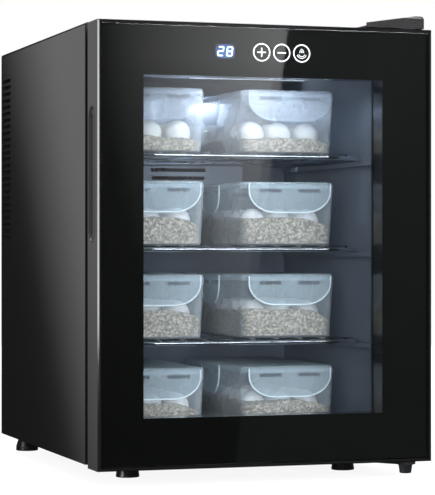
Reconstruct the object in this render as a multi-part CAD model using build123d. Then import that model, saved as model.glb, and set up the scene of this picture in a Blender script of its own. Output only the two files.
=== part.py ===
"""Cabinet egg incubator with a glass door, three wire shelves and eight clear hatching tubs.

Frame: millimetres, +X to the right as seen from the front, +Y to the back, +Z up.
The origin is at the centre of the overall box, on the surface that the feet stand on.
The door is hinged on the right and opens towards -Y. A thermoelectric module in the
upper rear heats or cools the chamber: one fan blows over the sink inside the chamber,
and another cools the sink in the vented compartment behind the insulation.
"""

import math
import os

from build123d import *

# ---- Cabinet -------------------------------------------------------------------
cabinet_width = 345.0
cabinet_height = 430.0
cabinet_depth = 376.0
rear_space = 51.0  # between the bulkhead and the cabinet's back, for the sink and the fan
sheet = 1.0  # steel of the outer wrap, the base plate and the bulkhead
wrap_bend = 3.0  # outside radius of the wrap's two top bends
liner_wall = 2.0
side_foam = 29.0
top_foam = 29.5
floor_foam = 22.0
rear_foam = 25.0
cavity_corner = 4.0

# ---- Feet ----------------------------------------------------------------------
foot_height = 18.5
front_foot_top_radius = 9.5
front_foot_radius = 12.0
rear_foot_radius = 12.5
rear_foot_neck_radius = 8.0
rear_foot_pad = 5.0
foot_round = 1.0
front_foot_inset_x = 57.0
front_foot_inset_y = 50.0
rear_foot_inset_x = 26.0
rear_foot_inset_y = 17.0
stud_radius = 4.0
stud_clearance = 0.2
collar_wall = 3.0
collar_height = 9.0
foot_travel = 6.0  # a front foot screws out by this, and its stud still fills the collar

# ---- Door ----------------------------------------------------------------------
door_thickness = 38.0
seal_gap = 10.0  # between the door's back and the cabinet's front
door_drop = 2.5  # door below the cabinet's underside
door_top_gap = 1.5  # door below the cabinet's top
door_wall = 3.0
door_web = 3.0
door_chamfer = 1.4
glass_inset = 0.4
glass_play = 0.3
outer_glass_thickness = 4.0
glass_arris = 0.5
inner_glass_thickness = 4.0
inner_glass_lap = 2.0
print_thickness = 0.3
window_left = 46.5
window_right = 51.5
window_top = 51.5
window_bottom = 49.5
sight_step = 3.5  # the liner's opening stands back from the window by this
liner_frame = 3.0
seal_width = 11.0
seal_neck = 7.0
seal_foot = 3.0
seal_lap = 1.0  # between the seal and the edge of the cavity

# ---- Hinges --------------------------------------------------------------------
hinge_inset_x = 20.0  # the axis, from the door's right side
hinge_inset_y = 20.0  # the axis, from the door's front
hinge_pin_radius = 4.0
hinge_running_gap = 0.05
bush_radius = 7.0
bush_length = 14.0
bush_flange_radius = 9.0
bush_flange = 1.0
bush_boss_wall = 3.0
bracket_thickness = 3.0
bracket_width = 38.0
bracket_reach = 34.0  # over the cabinet, behind its front
bracket_nose_radius = 10.0
pin_head_radius = 6.5
pin_head = 2.0
pin_cap_top_radius = 7.2
pin_cap_bottom_radius = 5.8
pin_cap_height = 9.0
hinge_screw_pitch_x = 22.0
hinge_screw_radius = 2.4
hinge_screw_bite = 8.0  # into the foam, past the sheet
pin_end_gap = 1.0  # between a pin's end and the end of its bush
cover_wall = 1.8
cover_width = 63.0
cover_low_height = 4.5
cover_high_height = 12.5
cover_flat = 9.0  # level stretch of the cover's top, over the axis
cover_right_reach = 15.0  # the cover's right side, beyond the axis
cover_corner = 3.5
cover_front_inset = 6.0
cover_length = 84.0
cover_taper = 17.5  # the left side runs in by this, over the length below
cover_taper_length = 42.0
cover_left_height = 5.0  # behind the taper, and rising from there
cover_left_rise = 0.577
cover_front_round = 2.5

# ---- Handle recess in the door's left side -------------------------------------
handle_height = 130.0
handle_centre_below_top = 147.0
handle_scoop_width = 24.5
handle_front_inset = 10.5
handle_scoop_depth = 1.5
handle_scoop_slope = 1.5
handle_slot_width = 10.5
handle_slot_depth = 13.0
handle_slot_margin = 6.0
handle_rim = 1.5
handle_cup_wall = 2.0

# ---- Controls behind the door glass --------------------------------------------
display_width = 20.0
display_height = 14.0
display_from_left = 129.0
control_below_top = 27.0
key_from_left = 165.0
key_pitch = 20.8
key_count = 3
key_radius = 8.0
control_board_margin = 6.0
control_board_thickness = 1.6
control_board_gap = 0.5
control_board_edge = 3.0  # board above and below the keys

# ---- Shelves -------------------------------------------------------------------
level_pitch = 94.0
shelf_bar_radius = 2.0
shelf_wire_radius = 1.25
shelf_weld = 0.4  # the wires bite into the bars by this
shelf_corner = 46.0
shelf_rear_corner = 8.0
shelf_side_gap = 2.5
shelf_rear_gap = 4.0
shelf_wire_pitch = 25.0
shelf_travel = 24.0  # a shelf comes forward by this behind the closed door
shelf_door_gap = 1.0
ledge_width = 6.0
ledge_height = 5.0
ledge_front = 12.0
ledge_rear = 12.0
ledge_gap = 0.3

# ---- Hatching tubs -------------------------------------------------------------
tub_height = 65.0
tub_width = 102.0
tub_gap = 33.6
tub_side_gap = 1.5
tub_setback = 40.0
tub_rear_gap = 7.0
tub_wall = 1.2
tub_draft = 2.5  # the walls lean in by this over the height
tub_corner = 12.0
tub_foot_round = 2.5
rim_height = 5.0
lid_height = 6.4
lid_wall = 1.4
lid_fit = 0.2
lid_shoulder = 4.0
flap_thickness = 1.4
flap_web = 1.2  # joins a flap to the lid
flap_stand_off = 0.3
flap_drop = 30.0
flap_straight = 7.0
front_flap_width = 90.0
front_flap_flat = 32.0
side_flap_width = 60.0
side_flap_flat = 22.0
flap_bead_width = 1.6
flap_bead = 0.5
catch_length = 22.0
catch_spread = 42.0
catch_height = 2.0
catch_play = 0.8
catch_reach = 0.75  # beyond the flap's face
catch_below_top = 9.0
fill_depth = 27.0
top_fill_depth = 14.0
fill_play = 0.2
egg_radius = 14.0
egg_pitch_x = 29.6
egg_pitch_y = 33.0
egg_columns = 3
egg_lift = -3.5  # an egg's centre over the fill's surface
top_egg_lift = 5.5  # the same on the top level, where the fill is shallow
egg_wander_x = 0.5
egg_wander_y = 1.4

# ---- Thermoelectric unit -------------------------------------------------------
unit_drop = 100.5  # module's centre below the cavity's ceiling
module_size = 40.0
module_thickness = 3.8
passage_play = 1.0
inner_sink_size = 84.0
inner_sink_depth = 26.0
inner_fan_size = 70.0
inner_fan_depth = 15.0
outer_sink_width = 130.0
outer_sink_height = 112.0
outer_sink_depth = 35.0
outer_fan_size = 92.0
outer_fan_depth = 25.0
fin_thickness = 1.4
fin_pitch = 5.6
sink_base = 4.5
fan_wall = 2.0
fan_tip_gap = 1.2
fan_hub_share = 0.42  # hub radius over the blades' radius
fan_blades = 7
fan_blade_thickness = 1.6
fan_blade_pitch = 38.0
fan_strut = 5.0
fan_plate = 3.0
fan_shaft_radius = 2.0
fan_running_gap = 0.05
fan_corner = 4.0
fan_hole_inset = 5.0
fan_hole_radius = 2.0
fan_rotor_gap = 1.0  # before and behind the rotor in its frame
duct_width = 150.0
duct_height = 142.0
duct_depth = 44.0
duct_wall = 2.0
duct_top_above_centre = 82.0
duct_corner = 8.0
duct_slot = 4.0
clip_size = 8.0
clip_thickness = 2.5
clip_inset = 14.0
clip_screw_head = 1.5
duct_slot_pitch = 9.0

# ---- Lamps and probe -----------------------------------------------------------
lamp_length = 120.0
lamp_depth = 16.0
lamp_drop = 18.0
lamp_inset = 5.0  # ceiling lamp behind the cavity's mouth
lens_height = 4.0
lens_round = 1.8
lamp_wall = 1.5
rear_lamp_width = 36.0
rear_lamp_height = 14.0
rear_lamp_from_centre = 25.0
rear_lamp_below_duct_top = 6.0
rear_lens_thickness = 2.0
lamp_board_thickness = 1.2
lamp_board_margin = 2.0
probe_radius = 3.0
probe_length = 26.0
probe_clip = 10.0
probe_stand_off = 5.0
probe_beside_duct = 28.0
probe_above_centre = 20.0

# ---- Rear cover, power board and mains inlet -----------------------------------
bulge_depth = 46.0
bulge_width = 250.0
bulge_height = 232.0
bulge_taper = 12.0  # the bulge's sides lean in by this
bulge_corner = 14.0
cover_panel = 2.5
vent_length = 41.0
vent_height = 4.2
vent_pitch = 7.32
vent_count = 25
vent_rear_gap = 5.5
vent_top_gap = 30.0
back_vent_length = 42.0
back_vent_gap = 12.0
lower_vent_count = 3
back_vent_pitch = 9.0
back_vent_margin = 22.0
post_radius = 5.0
post_inset = 14.0
cover_screw_radius = 1.6
screw_head_height = 2.2
screw_head_share = 2.1  # head radius over shank radius
screw_head_top_share = 1.7
screw_clearance = 0.1
screw_bite = 9.0
board_width = 150.0
board_height = 92.0
board_lift = 46.0  # board's lower edge above the base plate
board_stand_off = 5.0
board_post_radius = 3.0
board_post_inset = 5.0
board_thickness = 1.6
core_width = 40.0  # transformer's core
core_height = 36.0
core_depth = 30.0
bobbin_width = 24.0
bobbin_height = 50.0
bobbin_depth = 32.0
capacitor_inset = 22.0  # the two large capacitors, one above the other
upper_capacitor_radius = 9.0
upper_capacitor_depth = 28.0
upper_capacitor_rise = 16.0
lower_capacitor_radius = 7.5
lower_capacitor_depth = 24.0
lower_capacitor_drop = 12.0
small_capacitor_radius = 6.0
small_capacitor_depth = 20.0
small_capacitor_inset = 16.0
small_capacitor_drop = 20.0
choke_radius = 11.0
choke_bore = 5.0
choke_depth = 14.0
choke_inset = 20.0
choke_rise = 14.0
spreader_from_centre = 28.0
spreader_thickness = 3.0
spreader_depth = 26.0
spreader_margin = 14.0
inlet_width = 27.0
inlet_height = 20.0
inlet_depth = 22.0
inlet_flange_width = 50.0
inlet_flange_height = 24.0
inlet_flange = 2.5
inlet_wall = 1.8
inlet_recess = 15.0
inlet_from_left = 70.0
inlet_above_base = 22.0
inlet_pin_width = 2.0
inlet_pin_height = 4.0
inlet_pin_pitch = 7.0
inlet_pin_end = 2.0  # pins' ends inside the socket's mouth
inlet_flange_corner = 3.0

# ---- Planes worked out from the sizes above -------------------------------------
overall_depth = door_thickness + seal_gap + cabinet_depth + bulge_depth
side_x = cabinet_width / 2
door_front = -overall_depth / 2
door_back = door_front + door_thickness
cabinet_front = door_back + seal_gap
cabinet_back = cabinet_front + cabinet_depth
cavity_depth = cabinet_depth - rear_space - sheet - rear_foam - liner_wall
cavity_back = cabinet_front + cavity_depth
bulkhead_front = cavity_back + liner_wall + rear_foam
bulkhead_back = bulkhead_front + sheet
cover_back = cabinet_back + bulge_depth

cabinet_bottom = foot_height
cabinet_top = cabinet_bottom + cabinet_height
door_bottom = cabinet_bottom - door_drop
door_top = cabinet_top - door_top_gap
cavity_floor = cabinet_bottom + sheet + floor_foam + liner_wall
cavity_ceiling = cabinet_top - sheet - top_foam - liner_wall
cavity_x = side_x - sheet - side_foam - liner_wall

window = (
    -side_x + window_left,
    side_x - window_right,
    door_bottom + window_bottom,
    door_top - window_top,
)
glass_front = door_front + glass_inset
glass_back = glass_front + outer_glass_thickness
print_back = glass_back + print_thickness
web_back = print_back + door_web
liner_front = door_back - liner_frame
inner_glass_back = liner_front - liner_frame
inner_glass_front = inner_glass_back - inner_glass_thickness

hinge_x = side_x - hinge_inset_x
hinge_y = door_front + hinge_inset_y
hinge_screw_length = bracket_thickness + sheet + hinge_screw_bite
unit_z = cavity_ceiling - unit_drop

level_count = int((cavity_ceiling - cavity_floor - lamp_drop - tub_height) // level_pitch) + 1
flap_reach = flap_stand_off + flap_thickness + flap_bead
tub_span = tub_width + 2 * flap_reach
tub_length = cavity_depth - duct_depth - tub_setback - tub_rear_gap - 2 * flap_reach
tub_columns = int((2 * cavity_x - 2 * tub_side_gap + tub_gap) // (tub_span + tub_gap))
tub_y = cabinet_front + tub_setback + flap_reach + tub_length / 2

control_z = door_top - control_below_top
display_x = -side_x + display_from_left
key_xs = [-side_x + key_from_left + i * key_pitch for i in range(key_count)]


def level_z(level):
    """Height of the surface that the tubs of a level stand on. Level 1 is the chamber's floor."""
    return cavity_floor + (level - 1) * level_pitch


def tub_xs():
    """Centres of the tubs of one level, from the left wall."""
    first = -cavity_x + tub_side_gap + tub_span / 2
    return [first + i * (tub_span + tub_gap) for i in range(tub_columns)]


# ---- Helpers -------------------------------------------------------------------
def block(x0, x1, y0, y1, z0, z1):
    """A box between two corners."""
    return Pos((x0 + x1) / 2, (y0 + y1) / 2, (z0 + z1) / 2) * Box(x1 - x0, y1 - y0, z1 - z0)


def upright(x, y, z0, z1, radius, top_radius=None):
    """A vertical cylinder, or a cone where top_radius is given."""
    place = Pos(x, y, (z0 + z1) / 2)
    if top_radius is None or abs(top_radius - radius) < 1e-6:
        return place * Cylinder(radius, z1 - z0)
    return place * Cone(radius, top_radius, z1 - z0)


def along_y(x, z, y0, y1, radius):
    """A cylinder that runs from front to back."""
    return Pos(x, (y0 + y1) / 2, z) * Rot(90, 0, 0) * Cylinder(radius, y1 - y0)


def along_x(y, z, x0, x1, radius):
    """A cylinder that runs from left to right."""
    return Pos((x0 + x1) / 2, y, z) * Rot(0, 90, 0) * Cylinder(radius, x1 - x0)


def front_plane(x, y, z):
    """A plane seen from the front: its x is +X, its y is +Z and it faces -Y."""
    return Plane(origin=(x, y, z), x_dir=(1, 0, 0), z_dir=(0, -1, 0))


def side_plane(x, y, z):
    """A plane seen from the left side: its x is -Y, its y is +Z and it faces -X."""
    return Plane(origin=(x, y, z), x_dir=(0, -1, 0), z_dir=(-1, 0, 0))


def rounded_slab(x0, x1, y0, y1, z0, z1, radius):
    """A box whose four edges that run from front to back are rounded."""
    outline = RectangleRounded(x1 - x0, z1 - z0, radius)
    return extrude(front_plane((x0 + x1) / 2, y0, (z0 + z1) / 2) * outline, -(y1 - y0))


def ring_slab(outer, inner, y0, y1):
    """A rectangular frame between two planes. outer and inner are (x0, x1, z0, z1)."""
    hole_play = 1.0
    solid = block(outer[0], outer[1], y0, y1, outer[2], outer[3])
    return solid - block(inner[0], inner[1], y0 - hole_play, y1 + hole_play, inner[2], inner[3])


def grown(rect, by):
    """A rectangle (x0, x1, z0, z1) with every side moved out."""
    return (rect[0] - by, rect[1] + by, rect[2] - by, rect[3] + by)


def down_screw(x, y, z_seat, length, radius):
    """A screw driven down: its head stands on z_seat and its shank reaches below."""
    wide = screw_head_share * radius
    narrow = screw_head_top_share * radius
    head = upright(x, y, z_seat, z_seat + screw_head_height, wide, narrow)
    return head + upright(x, y, z_seat - length, z_seat, radius)


def up_screw(x, y, z_seat, length, radius):
    """A screw driven up: its head hangs under z_seat."""
    wide = screw_head_share * radius
    narrow = screw_head_top_share * radius
    head = upright(x, y, z_seat - screw_head_height, z_seat, narrow, wide)
    return head + upright(x, y, z_seat, z_seat + length, radius)


def front_screw(x, y_seat, z, length, radius):
    """A screw driven forwards, into -Y: its head stands behind y_seat."""
    head = along_y(x, z, y_seat, y_seat + screw_head_height, screw_head_share * radius)
    return head + along_y(x, z, y_seat - length, y_seat, radius)


# ---- Cabinet shell -------------------------------------------------------------
def hinge_screw_spots():
    """(x, y) of the screws that hold each hinge bracket."""
    y = cabinet_front + bracket_reach / 2
    middle = hinge_x - bracket_nose_radius / 2
    return [(middle + side * hinge_screw_pitch_x / 2, y) for side in (-1, 1)]


def foot_spots():
    """(x, y, is_front) of the four feet."""
    front_y = cabinet_front + front_foot_inset_y
    rear_y = cabinet_back - rear_foot_inset_y
    return [
        (side * (side_x - inset), y, is_front)
        for y, inset, is_front in (
            (front_y, front_foot_inset_x, True),
            (rear_y, rear_foot_inset_x, False),
        )
        for side in (-1, 1)
    ]


def collar_top():
    return cabinet_bottom + sheet + collar_height


def stud_top():
    return collar_top() + foot_travel


def hinge_screw_holes(z0, z1):
    """Clearance holes for the hinge screws between two heights."""
    radius = hinge_screw_radius + screw_clearance
    return [upright(x, y, z0, z1, radius) for x, y in hinge_screw_spots()]


def make_outer_wrap():
    """Steel sheet bent over the two sides and the top, with louvre slots near the back."""
    outline = Rectangle(cabinet_width, cabinet_height)
    top_corners = outline.vertices().group_by(Axis.Y)[-1]
    outline = fillet(top_corners, wrap_bend)
    middle_z = (cabinet_bottom + cabinet_top) / 2
    body = extrude(front_plane(0, cabinet_front, middle_z) * outline, -cabinet_depth)
    inside_x = side_x - sheet
    body -= block(
        -inside_x, inside_x, cabinet_front - 1, cabinet_back + 1, cabinet_bottom - 1, cabinet_top - sheet
    )
    slot_back = cabinet_back - vent_rear_gap
    slots = []
    for i in range(vent_count):
        z = cabinet_top - vent_top_gap - i * vent_pitch
        slots.append(
            block(-side_x - 1, side_x + 1, slot_back - vent_length, slot_back, z - vent_height, z)
        )
    body -= slots
    return body - hinge_screw_holes(cabinet_top - 2 * sheet, cabinet_top + 1)


def make_base_plate():
    """Steel floor of the cabinet, with a threaded collar for the stud of each foot."""
    inside_x = side_x - sheet
    top = cabinet_bottom + sheet
    body = block(-inside_x, inside_x, cabinet_front, cabinet_back, cabinet_bottom, top)
    bore = stud_radius + stud_clearance
    for x, y, _ in foot_spots():
        body += upright(x, y, top - sheet / 2, collar_top(), bore + collar_wall)
    for x, y, _ in foot_spots():
        body -= upright(x, y, cabinet_bottom - 1, collar_top() + 1, bore)
    return body - hinge_screw_holes(cabinet_bottom - 1, top + 1)


def ledge_spans():
    """(x0, x1) of the left and the right ledge."""
    return [(-cavity_x, -cavity_x + ledge_width), (cavity_x - ledge_width, cavity_x)]


def shelf_bar_z(level):
    """Height of the axis of a shelf's outer bar: the wires lie on it."""
    return level_z(level) - 2 * shelf_wire_radius + shelf_weld - shelf_bar_radius


def ledge_top(level):
    return shelf_bar_z(level) - shelf_bar_radius - ledge_gap


def make_inner_liner():
    """Moulded chamber, open at the front, with the flange that the door seal meets and shelf ledges."""
    inside_x = side_x - sheet
    shell_x = cavity_x + liner_wall
    shell_bottom = cavity_floor - liner_wall
    shell_top = cavity_ceiling + liner_wall
    body = block(
        -shell_x, shell_x, cabinet_front, cavity_back + liner_wall, shell_bottom, shell_top
    )
    body += block(
        -inside_x,
        inside_x,
        cabinet_front,
        cabinet_front + liner_wall,
        cabinet_bottom + sheet,
        cabinet_top - sheet,
    )
    body -= rounded_slab(
        -cavity_x, cavity_x, cabinet_front - 1, cavity_back, cavity_floor, cavity_ceiling, cavity_corner
    )
    for level in range(2, level_count + 1):
        top = ledge_top(level)
        for x0, x1 in ledge_spans():
            body += block(
                x0,
                x1,
                cabinet_front + ledge_front,
                cavity_back - ledge_rear,
                top - ledge_height,
                top,
            )
    hole = module_size / 2 + passage_play
    return body - block(
        -hole, hole, cavity_back - 1, cavity_back + liner_wall + 1, unit_z - hole, unit_z + hole
    )


def make_foam():
    """Rigid foam poured between the wrap, the base, the bulkhead and the liner."""
    inside_x = side_x - sheet
    shell_x = cavity_x + liner_wall
    front = cabinet_front + liner_wall
    body = block(
        -inside_x, inside_x, front, bulkhead_front, cabinet_bottom + sheet, cabinet_top - sheet
    )
    body -= block(
        -shell_x,
        shell_x,
        front - 1,
        cavity_back + liner_wall,
        cavity_floor - liner_wall,
        cavity_ceiling + liner_wall,
    )
    hole = module_size / 2 + passage_play
    body -= block(-hole, hole, cavity_back, bulkhead_front + 1, unit_z - hole, unit_z + hole)
    bore = stud_radius + stud_clearance
    for x, y, is_front in foot_spots():
        if is_front:
            body -= upright(x, y, cabinet_bottom, collar_top(), bore + collar_wall)
            body -= upright(x, y, cabinet_bottom, stud_top() + stud_clearance, bore)
    depth = hinge_screw_length - bracket_thickness
    body -= hinge_screw_holes(cabinet_top - depth - 1, cabinet_top)
    return body - hinge_screw_holes(cabinet_bottom, cabinet_bottom + depth + 1)


def post_spots():
    """(x, z) of the four posts that the rear cover is screwed to."""
    x = side_x - sheet - post_inset
    return [
        (side * x, z)
        for side in (-1, 1)
        for z in (cabinet_bottom + sheet + post_inset, cabinet_top - sheet - post_inset)
    ]


def board_span():
    """(x0, x1, z0, z1) of the power board."""
    z0 = cabinet_bottom + sheet + board_lift
    return (-board_width / 2, board_width / 2, z0, z0 + board_height)


def board_post_spots():
    x0, x1, z0, z1 = grown(board_span(), -board_post_inset)
    return [(x, z) for x in (x0, x1) for z in (z0, z1)]


def make_rear_bulkhead():
    """Steel back of the insulated box, with posts for the rear cover and the power board."""
    inside_x = side_x - sheet
    z0 = cabinet_bottom + sheet
    z1 = cabinet_top - sheet
    body = block(-inside_x, inside_x, bulkhead_front, bulkhead_back, z0, z1)
    for x, z in post_spots():
        body += along_y(x, z, bulkhead_front + sheet / 2, cabinet_back - cover_panel, post_radius)
    for x, z in board_post_spots():
        body += along_y(x, z, bulkhead_front + sheet / 2, bulkhead_back + board_stand_off, board_post_radius)
    radius = cover_screw_radius + screw_clearance
    for x, z in post_spots():
        body -= along_y(x, z, cabinet_back - cover_panel - screw_bite - 1, cabinet_back, radius)
    hole = module_size / 2 + passage_play
    return body - block(
        -hole, hole, bulkhead_front - 1, bulkhead_back + 1, unit_z - hole, unit_z + hole
    )


# ---- Rear cover ----------------------------------------------------------------
def bulge_solid(inset, depth):
    """The bulge's tapered block, smaller by inset all round, standing back from the panel."""
    start = front_plane(0, cabinet_back - cover_panel, unit_z)
    end = front_plane(0, cabinet_back - cover_panel + depth, unit_z)
    lean = 2 * bulge_taper * depth / (bulge_depth + cover_panel)
    wide = (bulge_width - 2 * inset, bulge_height - 2 * inset)
    narrow = (wide[0] - lean, wide[1] - lean)
    radius = bulge_corner - inset
    faces = [
        start * RectangleRounded(*wide, radius),
        end * RectangleRounded(*narrow, radius),
    ]
    return loft(faces, ruled=True)


def back_vent_zs():
    """Heights of the slots in the bulge's back face."""
    half = bulge_height / 2 - bulge_taper - back_vent_margin
    steps = int(half // back_vent_pitch)
    return [unit_z + i * back_vent_pitch for i in range(-steps, steps + 1)]


def inlet_centre():
    return (-side_x + inlet_from_left, cabinet_bottom + sheet + inlet_above_base)


def make_rear_cover():
    """Moulded back panel whose bulge makes room for the fan, with slots for the air."""
    inside_x = side_x - sheet
    front = cabinet_back - cover_panel
    body = block(
        -inside_x, inside_x, front, cabinet_back, cabinet_bottom + sheet, cabinet_top - sheet
    )
    body += bulge_solid(0, bulge_depth + cover_panel)
    body -= Pos(0, -0.01, 0) * bulge_solid(cover_panel, bulge_depth)
    half_gap = back_vent_gap / 2
    half_high = vent_height / 2
    slots = []
    for z in back_vent_zs():
        for side in (-1, 1):
            x0, x1 = sorted((side * half_gap, side * (half_gap + back_vent_length)))
            slots.append(
                block(x0, x1, cover_back - 3 * cover_panel, cover_back + 1, z - half_high, z + half_high)
            )
    lower_z = unit_z - bulge_height / 2 - back_vent_margin
    for i in range(lower_vent_count):
        z = lower_z - i * back_vent_pitch
        x = back_vent_length
        slots.append(block(-x, x, front - 1, cabinet_back + 1, z - half_high, z + half_high))
    body -= slots
    x, z = inlet_centre()
    body -= block(
        x - inlet_width / 2,
        x + inlet_width / 2,
        front - 1,
        cabinet_back + 1,
        z - inlet_height / 2,
        z + inlet_height / 2,
    )
    radius = cover_screw_radius + screw_clearance
    return body - [along_y(x, z, front - 1, cabinet_back + 1, radius) for x, z in post_spots()]


def make_rear_cover_screws():
    """Four screws through the rear cover's corners."""
    return Compound(
        [
            front_screw(x, cabinet_back, z, cover_panel + screw_bite, cover_screw_radius)
            for x, z in post_spots()
        ]
    )


def make_mains_inlet():
    """Three-pin appliance inlet, snapped into the back panel."""
    x, z = inlet_centre()
    back = cabinet_back + inlet_flange
    flange = rounded_slab(
        x - inlet_flange_width / 2,
        x + inlet_flange_width / 2,
        cabinet_back,
        back,
        z - inlet_flange_height / 2,
        z + inlet_flange_height / 2,
        inlet_flange_corner,
    )
    half_w = inlet_width / 2
    half_h = inlet_height / 2
    body = flange + block(
        x - half_w, x + half_w, back - inlet_depth, cabinet_back + 0.1, z - half_h, z + half_h
    )
    body -= block(
        x - half_w + inlet_wall,
        x + half_w - inlet_wall,
        back - inlet_recess,
        back + 1,
        z - half_h + inlet_wall,
        z + half_h - inlet_wall,
    )
    for dx, dz in ((-inlet_pin_pitch, -2.0), (0.0, 1.0), (inlet_pin_pitch, -2.0)):
        body += block(
            x + dx - inlet_pin_width / 2,
            x + dx + inlet_pin_width / 2,
            back - inlet_recess - 1,
            back - inlet_pin_end,
            z + dz - inlet_pin_height / 2,
            z + dz + inlet_pin_height / 2,
        )
    return body


def make_power_board():
    """Power supply board on its posts, with transformer, capacitors, inductor and heat spreader."""
    x0, x1, z0, z1 = board_span()
    front = bulkhead_back + board_stand_off
    back = front + board_thickness
    board = block(x0, x1, front, back, z0, z1)
    middle_x = (x0 + x1) / 2
    middle_z = (z0 + z1) / 2
    transformer = block(
        middle_x - core_width / 2,
        middle_x + core_width / 2,
        back,
        back + core_depth,
        middle_z - core_height / 2,
        middle_z + core_height / 2,
    )
    transformer += block(
        middle_x - bobbin_width / 2,
        middle_x + bobbin_width / 2,
        back,
        back + bobbin_depth,
        middle_z - bobbin_height / 2,
        middle_z + bobbin_height / 2,
    )
    left = x0 + capacitor_inset
    upper = middle_z + upper_capacitor_rise
    lower = middle_z - lower_capacitor_drop
    right = x1 - small_capacitor_inset
    small = middle_z - small_capacitor_drop
    capacitors = [
        along_y(left, upper, back, back + upper_capacitor_depth, upper_capacitor_radius),
        along_y(left, lower, back, back + lower_capacitor_depth, lower_capacitor_radius),
        along_y(right, small, back, back + small_capacitor_depth, small_capacitor_radius),
    ]
    x = x1 - choke_inset
    z = middle_z + choke_rise
    choke = along_y(x, z, back, back + choke_depth, choke_radius)
    choke -= along_y(x, z, back - 1, back + choke_depth + 1, choke_bore)
    x = middle_x + spreader_from_centre
    spreader = block(
        x, x + spreader_thickness, back, back + spreader_depth, z0 + spreader_margin, z1 - spreader_margin
    )
    return Compound([board, transformer, *capacitors, choke, spreader])


# ---- Feet ----------------------------------------------------------------------
def make_front_foot(side):
    """Levelling foot with its threaded stud, fully screwed in."""
    x, y, _ = next(s for s in foot_spots() if s[2] and s[0] * side > 0)
    pad = upright(x, y, 0, foot_height, front_foot_radius, front_foot_top_radius)
    rounded = fillet(pad.edges().group_by(Axis.Z)[0], foot_round)
    return rounded + upright(x, y, foot_height - 1, stud_top(), stud_radius)


def make_rear_feet():
    """Two fixed feet with a wide pad and a narrow neck, pushed into the base plate's collars."""
    feet = []
    for x, y, is_front in foot_spots():
        if is_front:
            continue
        foot = upright(x, y, 0, rear_foot_pad, rear_foot_radius)
        foot += upright(x, y, rear_foot_pad, foot_height, rear_foot_radius, rear_foot_neck_radius)
        foot = fillet(foot.edges().group_by(Axis.Z)[0], foot_round)
        feet.append(foot + upright(x, y, foot_height - 1, collar_top(), stud_radius))
    return Compound(feet)


# ---- Hinges --------------------------------------------------------------------
def bracket_outline(reach):
    """Plan of a hinge bracket: a plate on the cabinet whose arm narrows to the pin."""
    right = hinge_x + bracket_nose_radius
    left = right - bracket_width
    back = cabinet_front + reach
    shoulder = cabinet_front - seal_gap / 2
    plate = Polygon(
        (left, back), (left, shoulder), (hinge_x - bracket_nose_radius, hinge_y),
        (right, hinge_y), (right, back), align=None,
    )
    return plate + Pos(hinge_x, hinge_y) * Circle(bracket_nose_radius)


def make_upper_hinge_bracket():
    """Steel plate on the cabinet's top that reaches over the door and carries the upper pin."""
    plate = extrude(Plane.XY.offset(cabinet_top) * bracket_outline(bracket_reach), bracket_thickness)
    above = cabinet_top + bracket_thickness + 1
    plate -= upright(hinge_x, hinge_y, cabinet_top - 1, above, hinge_pin_radius)
    return plate - hinge_screw_holes(cabinet_top - 1, above)


def lower_plate_top():
    return door_bottom - bush_flange


def make_lower_hinge_bracket():
    """Joggled steel plate under the cabinet that reaches below the door and carries the lower pin."""
    top = lower_plate_top()
    outline = bracket_outline(bracket_reach)
    arm = extrude(Plane.XY.offset(top - bracket_thickness) * outline, bracket_thickness)
    step_back = cabinet_front + bracket_thickness
    arm &= block(-side_x, side_x, door_front, step_back, 0, cabinet_bottom)
    pad = extrude(Plane.XY.offset(cabinet_bottom - bracket_thickness) * outline, bracket_thickness)
    pad &= block(-side_x, side_x, cabinet_front, cabinet_back, 0, cabinet_bottom)
    right = hinge_x + bracket_nose_radius
    step = block(
        right - bracket_width, right, cabinet_front, step_back, top - bracket_thickness, cabinet_bottom
    )
    body = arm + pad + step
    body -= upright(hinge_x, hinge_y, 0, cabinet_bottom, hinge_pin_radius)
    return body - hinge_screw_holes(0, cabinet_bottom + 1)


def make_hinge_pins():
    """Upper pin with its head on the bracket, and lower pin with the tapered cap under the bracket."""
    engaged = bush_length - pin_end_gap
    head_seat = cabinet_top + bracket_thickness
    upper = upright(hinge_x, hinge_y, door_top - engaged, head_seat, hinge_pin_radius)
    upper += upright(hinge_x, hinge_y, head_seat, head_seat + pin_head, pin_head_radius)
    seat = lower_plate_top() - bracket_thickness
    lower = upright(hinge_x, hinge_y, seat, door_bottom + engaged, hinge_pin_radius)
    cap = upright(
        hinge_x, hinge_y, seat - pin_cap_height, seat, pin_cap_bottom_radius, pin_cap_top_radius
    )
    cap = fillet(cap.edges().group_by(Axis.Z)[0], foot_round)
    return Compound([upper, lower + cap])


def make_hinge_screws():
    """Screws of the two hinge brackets."""
    screws = []
    for x, y in hinge_screw_spots():
        screws.append(
            down_screw(x, y, cabinet_top + bracket_thickness, hinge_screw_length, hinge_screw_radius)
        )
        screws.append(
            up_screw(x, y, cabinet_bottom - bracket_thickness, hinge_screw_length, hinge_screw_radius)
        )
    return Compound(screws)


def make_hinge_bushes():
    """Flanged plastic bushes in the door's top and bottom, which turn on the pins."""
    bore = hinge_pin_radius + hinge_running_gap
    bushes = []
    for edge, side in ((door_top, 1), (door_bottom, -1)):
        inner_end = edge - side * bush_length
        outer_end = edge + side * bush_flange
        low, high = sorted((inner_end, edge))
        bush = upright(hinge_x, hinge_y, low, high, bush_radius)
        low, high = sorted((edge, outer_end))
        bush += upright(hinge_x, hinge_y, low, high, bush_flange_radius)
        low, high = sorted((inner_end, outer_end))
        bushes.append(bush - upright(hinge_x, hinge_y, low - 1, high + 1, bore))
    return Compound(bushes)


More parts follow.
